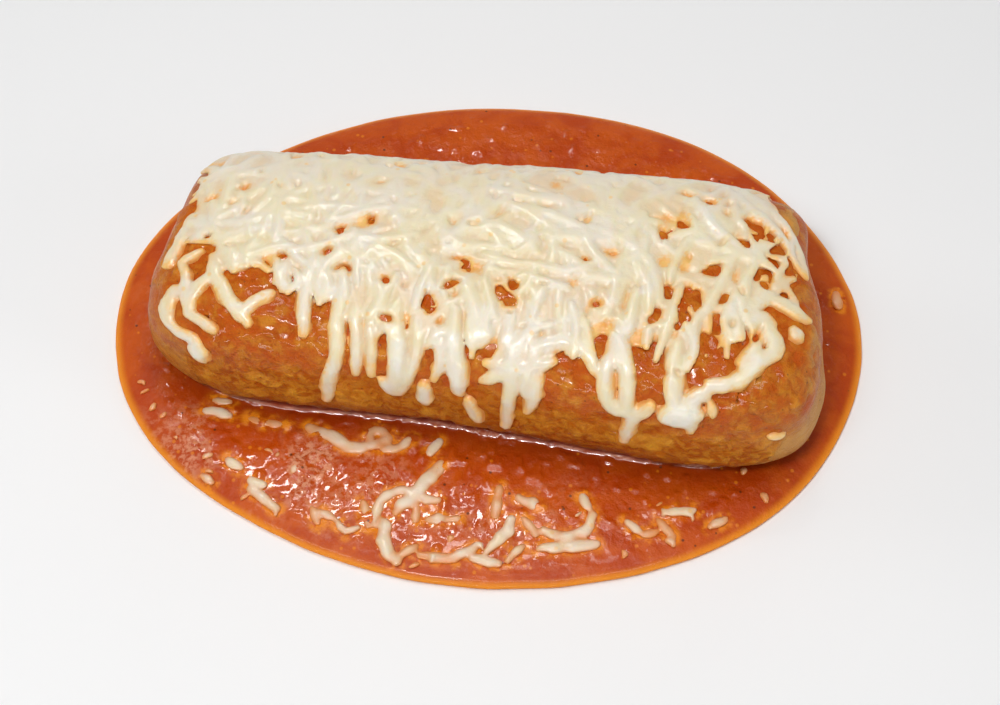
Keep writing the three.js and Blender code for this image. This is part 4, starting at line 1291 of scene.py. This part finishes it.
class BURRITO_OT_sauce(bpy.types.Operator):
    """Pour the pool of sauce round the roll"""

    bl_idname = "burrito.sauce"
    bl_label = "Sauce pool"

    def execute(self, context):
        settings = context.scene.burrito_sauce
        angle = np.arange(settings.sides) / settings.sides * 2 * math.pi
        rim = outline_at(angle, 1) - POOL_MIDDLE
        true_angle = np.arctan2(rim[:, 1] - ROLL_CENTRE[1], rim[:, 0] - ROLL_CENTRE[0])
        side = foot_reach(true_angle)[:, None]
        foot = np.stack([np.cos(true_angle), np.sin(true_angle)], -1) * side + ROLL_CENTRE
        start = foot + (ROLL_CENTRE - foot) * SAUCE_START / side
        place, out = pool_places(angle, rim, start, settings.rings)
        beyond = np.linalg.norm(place - ROLL_CENTRE, axis=-1) > side[:, 0]
        from_foot = distance_to(foot[::2], place) * np.where(beyond, 1, -1)
        height = sauce_height(place, out, from_foot)
        rings = np.concatenate([place, height[..., None]], axis=-1)
        rings = closed_pool(rings, rim, foot + (ROLL_CENTRE - foot) * SAUCE_TUCK / side)
        middle = [*ROLL_CENTRE, SAUCE_TUCK_HEIGHT]
        points = np.concatenate([[[0, 0, 0]], rings.reshape(-1, 3), [middle]])
        faces = tube_faces(len(rings), settings.sides)
        marks = sauce_marks(place, out, from_foot)
        piece = piece_of("sauce", points, faces, marks, "sauce_pool")
        piece.data.materials.append(sauce_finish(settings))
        return {"FINISHED"}


class BURRITO_OT_loose_cheese(bpy.types.Operator):
    """Scatter the loose shreds of cheese that float in the sauce"""

    bl_idname = "burrito.loose_cheese"
    bl_label = "Loose shreds"

    def execute(self, context):
        settings = context.scene.burrito_cheese
        dough = Dough((-128, -96, 3.2), (122, 34, 7.4), 0.5)
        for i, (width, *bends) in enumerate(LOOSE_SHREDS):
            path = smooth_bends(bends, 2.0)
            sunk = 0.3 * lumps(np.array([i * 7.7, 0.0]), 3.0, 81)
            dough.add_strand(path, width * 1.18, width * 0.46, POOL_DEPTH + 0.05 + sunk, 1.2,
                             0.3, 700 + i)
        random = np.random.default_rng(settings.seed + 1)
        for i in range(settings.crumbs):
            turn = random.uniform(math.pi * 1.08, math.pi * 1.86)
            middle = outline_at(turn, random.uniform(0.74, 0.96)) - POOL_MIDDLE
            off = random.uniform(-1.4, 1.4, 2)
            path = smooth_bends([middle - off, middle + 0.5, middle + off], 1.0)
            width = random.uniform(1.1, 2.8)
            dough.add_strand(path, width, 1.5, POOL_DEPTH + random.uniform(-0.4, 0.05), 0.8,
                             0.35, 800 + i)
        places, faces = dough.surface()
        marks = cheese_marks(dough, places)
        marks["thick"] = (places[:, 2] - POOL_DEPTH) * 0.9 + 0.45
        marks["cover"] = np.full(len(places), 0.95)
        marks["stain"] = 0.08 + ease(1.0, 0.2, places[:, 2] - POOL_DEPTH) * 0.7
        marks["film"] = np.full(len(places), 0.9)
        piece = piece_of("loose_shreds", places, faces, marks)
        piece.data.materials.append(cheese_finish("loose_cheese", settings, 0.5))
        return {"FINISHED"}


# ---- stage ------------------------------------------------------------------------------------


class StageSettings(bpy.types.PropertyGroup):
    eye: bpy.props.FloatVectorProperty(
        name="Camera place", description="Where the camera stands", subtype="TRANSLATION",
        unit="LENGTH", size=3, default=(0.0499, -0.3514, 0.5772))
    target: bpy.props.FloatVectorProperty(
        name="Camera target", description="What the camera looks at", subtype="TRANSLATION",
        unit="LENGTH", size=3, default=(0.0068, -0.0195, 0.02))
    lens: bpy.props.FloatProperty(
        name="Lens", description="Focal length in millimetres", default=71.35, min=10, max=200)
    floor: bpy.props.FloatVectorProperty(
        name="Floor", description="Colour of the floor", subtype="COLOR", size=3,
        default=(0.88, 0.88, 0.88))


# what the lights and the object share, in metres
LIT_PLACE = (0, 0, 0.03)
FLOOR_REACH, FLOOR_DROP = 6.0, -0.0002
# place, size and power, then whether wet surfaces mirror it and whether it lights up colours
LIGHTS = {
    "key": ((-0.18, -0.42, 0.85), (0.36, 0.22), 2.05, False, True),
    "top": ((0.05, -0.05, 1.1), (0.5, 0.4), 2.0, False, True),
    "left": ((-0.95, 0.1, 0.5), (0.4, 0.5), 1.1, False, True),
    "right": ((0.95, -0.25, 0.5), (0.4, 0.5), 1.1, False, True),
    "back": ((0.1, 1.0, 0.3), (0.8, 0.25), 1.2, False, True),
    "glint_front": ((-0.1, -0.36, 0.78), (0.12, 0.06), 1.8, True, True),
    "glint_top": ((0.04, 0.1, 1.0), (0.24, 0.1), 0.9, True, True),
    "glint_back": ((-0.06, 0.32, 0.98), (0.12, 0.06), 0.4, True, True),
    "glint_froth": ((-0.26, 0.42, 0.98), (0.2, 0.08), 2.0, True, False),
    "glint_low": ((-0.05, -0.85, 0.5), (1.0, 0.05), 2.6, True, False),
    "glint_long": ((-0.03, -0.09, 1.0), (1.0, 0.06), 0.9, True, False),
    "glint_foot": ((-0.03, -0.4, 0.88), (1.0, 0.1), 3.6, True, False),
}


def area_light(name, place, size, power, mirrored, lights_up):
    """A rectangular light: a large soft one that lights up, or a small one that makes glints."""
    lamp = bpy.data.lights.new(name, "AREA")
    lamp.shape = "RECTANGLE"
    lamp.size, lamp.size_y = size
    lamp.energy = power
    light = bpy.data.objects.new(name, lamp)
    light.visible_glossy = mirrored
    light.visible_diffuse = lights_up
    light.location = place
    aim = Vector(LIT_PLACE) - Vector(place)
    light.rotation_euler = aim.to_track_quat("-Z", "Y").to_euler()
    bpy.context.scene.collection.objects.link(light)


def soft_room():
    """Even light from all round, brighter near the floor than overhead."""
    world = bpy.data.worlds.new("soft_room")
    world.use_nodes = True
    tree = world.node_tree
    sky = tree.nodes["Background"]
    sky.inputs["Color"].default_value = (1, 1, 1, 1)
    place = add_node(tree, "ShaderNodeTexCoord").outputs["Generated"]
    height = add_node(tree, "ShaderNodeSeparateXYZ", Vector=place).outputs["Z"]
    walls = add_node(tree, "ShaderNodeMapRange", Value=height, From_Min=0.12, From_Max=0.5,
                     To_Min=0.75, To_Max=0.15)
    tree.links.new(walls.outputs["Result"], sky.inputs["Strength"])
    return world


class BURRITO_OT_stage(bpy.types.Operator):
    """Set up the floor, the soft lights and the camera"""

    bl_idname = "burrito.stage"
    bl_label = "Stage"

    def execute(self, context):
        settings = context.scene.burrito_stage
        scene = context.scene
        mesh = bpy.data.meshes.new("floor")
        corners = [(x * FLOOR_REACH, y * FLOOR_REACH, FLOOR_DROP)
                   for x, y in ((-1, -1), (1, -1), (1, 1), (-1, 1))]
        mesh.from_pydata(corners, [], [(0, 1, 2, 3)])
        floor = bpy.data.objects.new("floor", mesh)
        scene.collection.objects.link(floor)
        paint = Finish("pale_floor")
        paint.surface(Base_Color=tuple(settings.floor))
        paint.surface(Roughness=0.7, Specular_IOR_Level=0.2)
        mesh.materials.append(paint.material)
        scene.world = soft_room()
        for name, light in LIGHTS.items():
            area_light(name, *light)
        scene.view_settings.view_transform = "Standard"
        lens = bpy.data.cameras.new("camera")
        lens.sensor_width = 36
        lens.lens = settings.lens
        lens.clip_start = 0.01
        camera = bpy.data.objects.new("camera", lens)
        camera.location = settings.eye
        aim = Vector(settings.target) - Vector(settings.eye)
        camera.rotation_euler = aim.to_track_quat("-Z", "Y").to_euler()
        scene.collection.objects.link(camera)
        scene.camera = camera
        return {"FINISHED"}


class BURRITO_PT_panel(bpy.types.Panel):
    bl_label = "Smothered burrito"
    bl_idname = "BURRITO_PT_panel"
    bl_space_type = "VIEW_3D"
    bl_region_type = "UI"
    bl_category = "Burrito"

    def draw(self, context):
        for settings, operators in PANEL_ROWS:
            box = self.layout.box()
            group = getattr(context.scene, settings)
            for name in group.bl_rna.properties.keys():
                if name not in ("rna_type", "name"):
                    box.prop(group, name)
            for operator in operators:
                box.operator(operator.bl_idname)


PANEL_ROWS = [
    ("burrito_tortilla", [BURRITO_OT_tortilla]),
    ("burrito_cheese", [BURRITO_OT_cheese, BURRITO_OT_loose_cheese]),
    ("burrito_sauce", [BURRITO_OT_sauce]),
    ("burrito_stage", [BURRITO_OT_stage]),
]
SETTINGS = {
    "burrito_tortilla": TortillaSettings,
    "burrito_cheese": CheeseSettings,
    "burrito_sauce": SauceSettings,
    "burrito_stage": StageSettings,
}
OPERATORS = [BURRITO_OT_tortilla, BURRITO_OT_cheese, BURRITO_OT_sauce, BURRITO_OT_loose_cheese,
             BURRITO_OT_stage]


def register():
    for kind in [*SETTINGS.values(), *OPERATORS, BURRITO_PT_panel]:
        bpy.utils.register_class(kind)
    for name, kind in SETTINGS.items():
        setattr(bpy.types.Scene, name, bpy.props.PointerProperty(type=kind))


def unregister():
    for name in SETTINGS:
        delattr(bpy.types.Scene, name)
    for kind in [BURRITO_PT_panel, *OPERATORS[::-1], *SETTINGS.values()]:
        bpy.utils.unregister_class(kind)


def main():
    register()
    bpy.ops.burrito.stage()
    bpy.ops.burrito.tortilla()
    bpy.ops.burrito.cheese()
    bpy.ops.burrito.sauce()
    bpy.ops.burrito.loose_cheese()


if __name__ == "__main__":
    main()
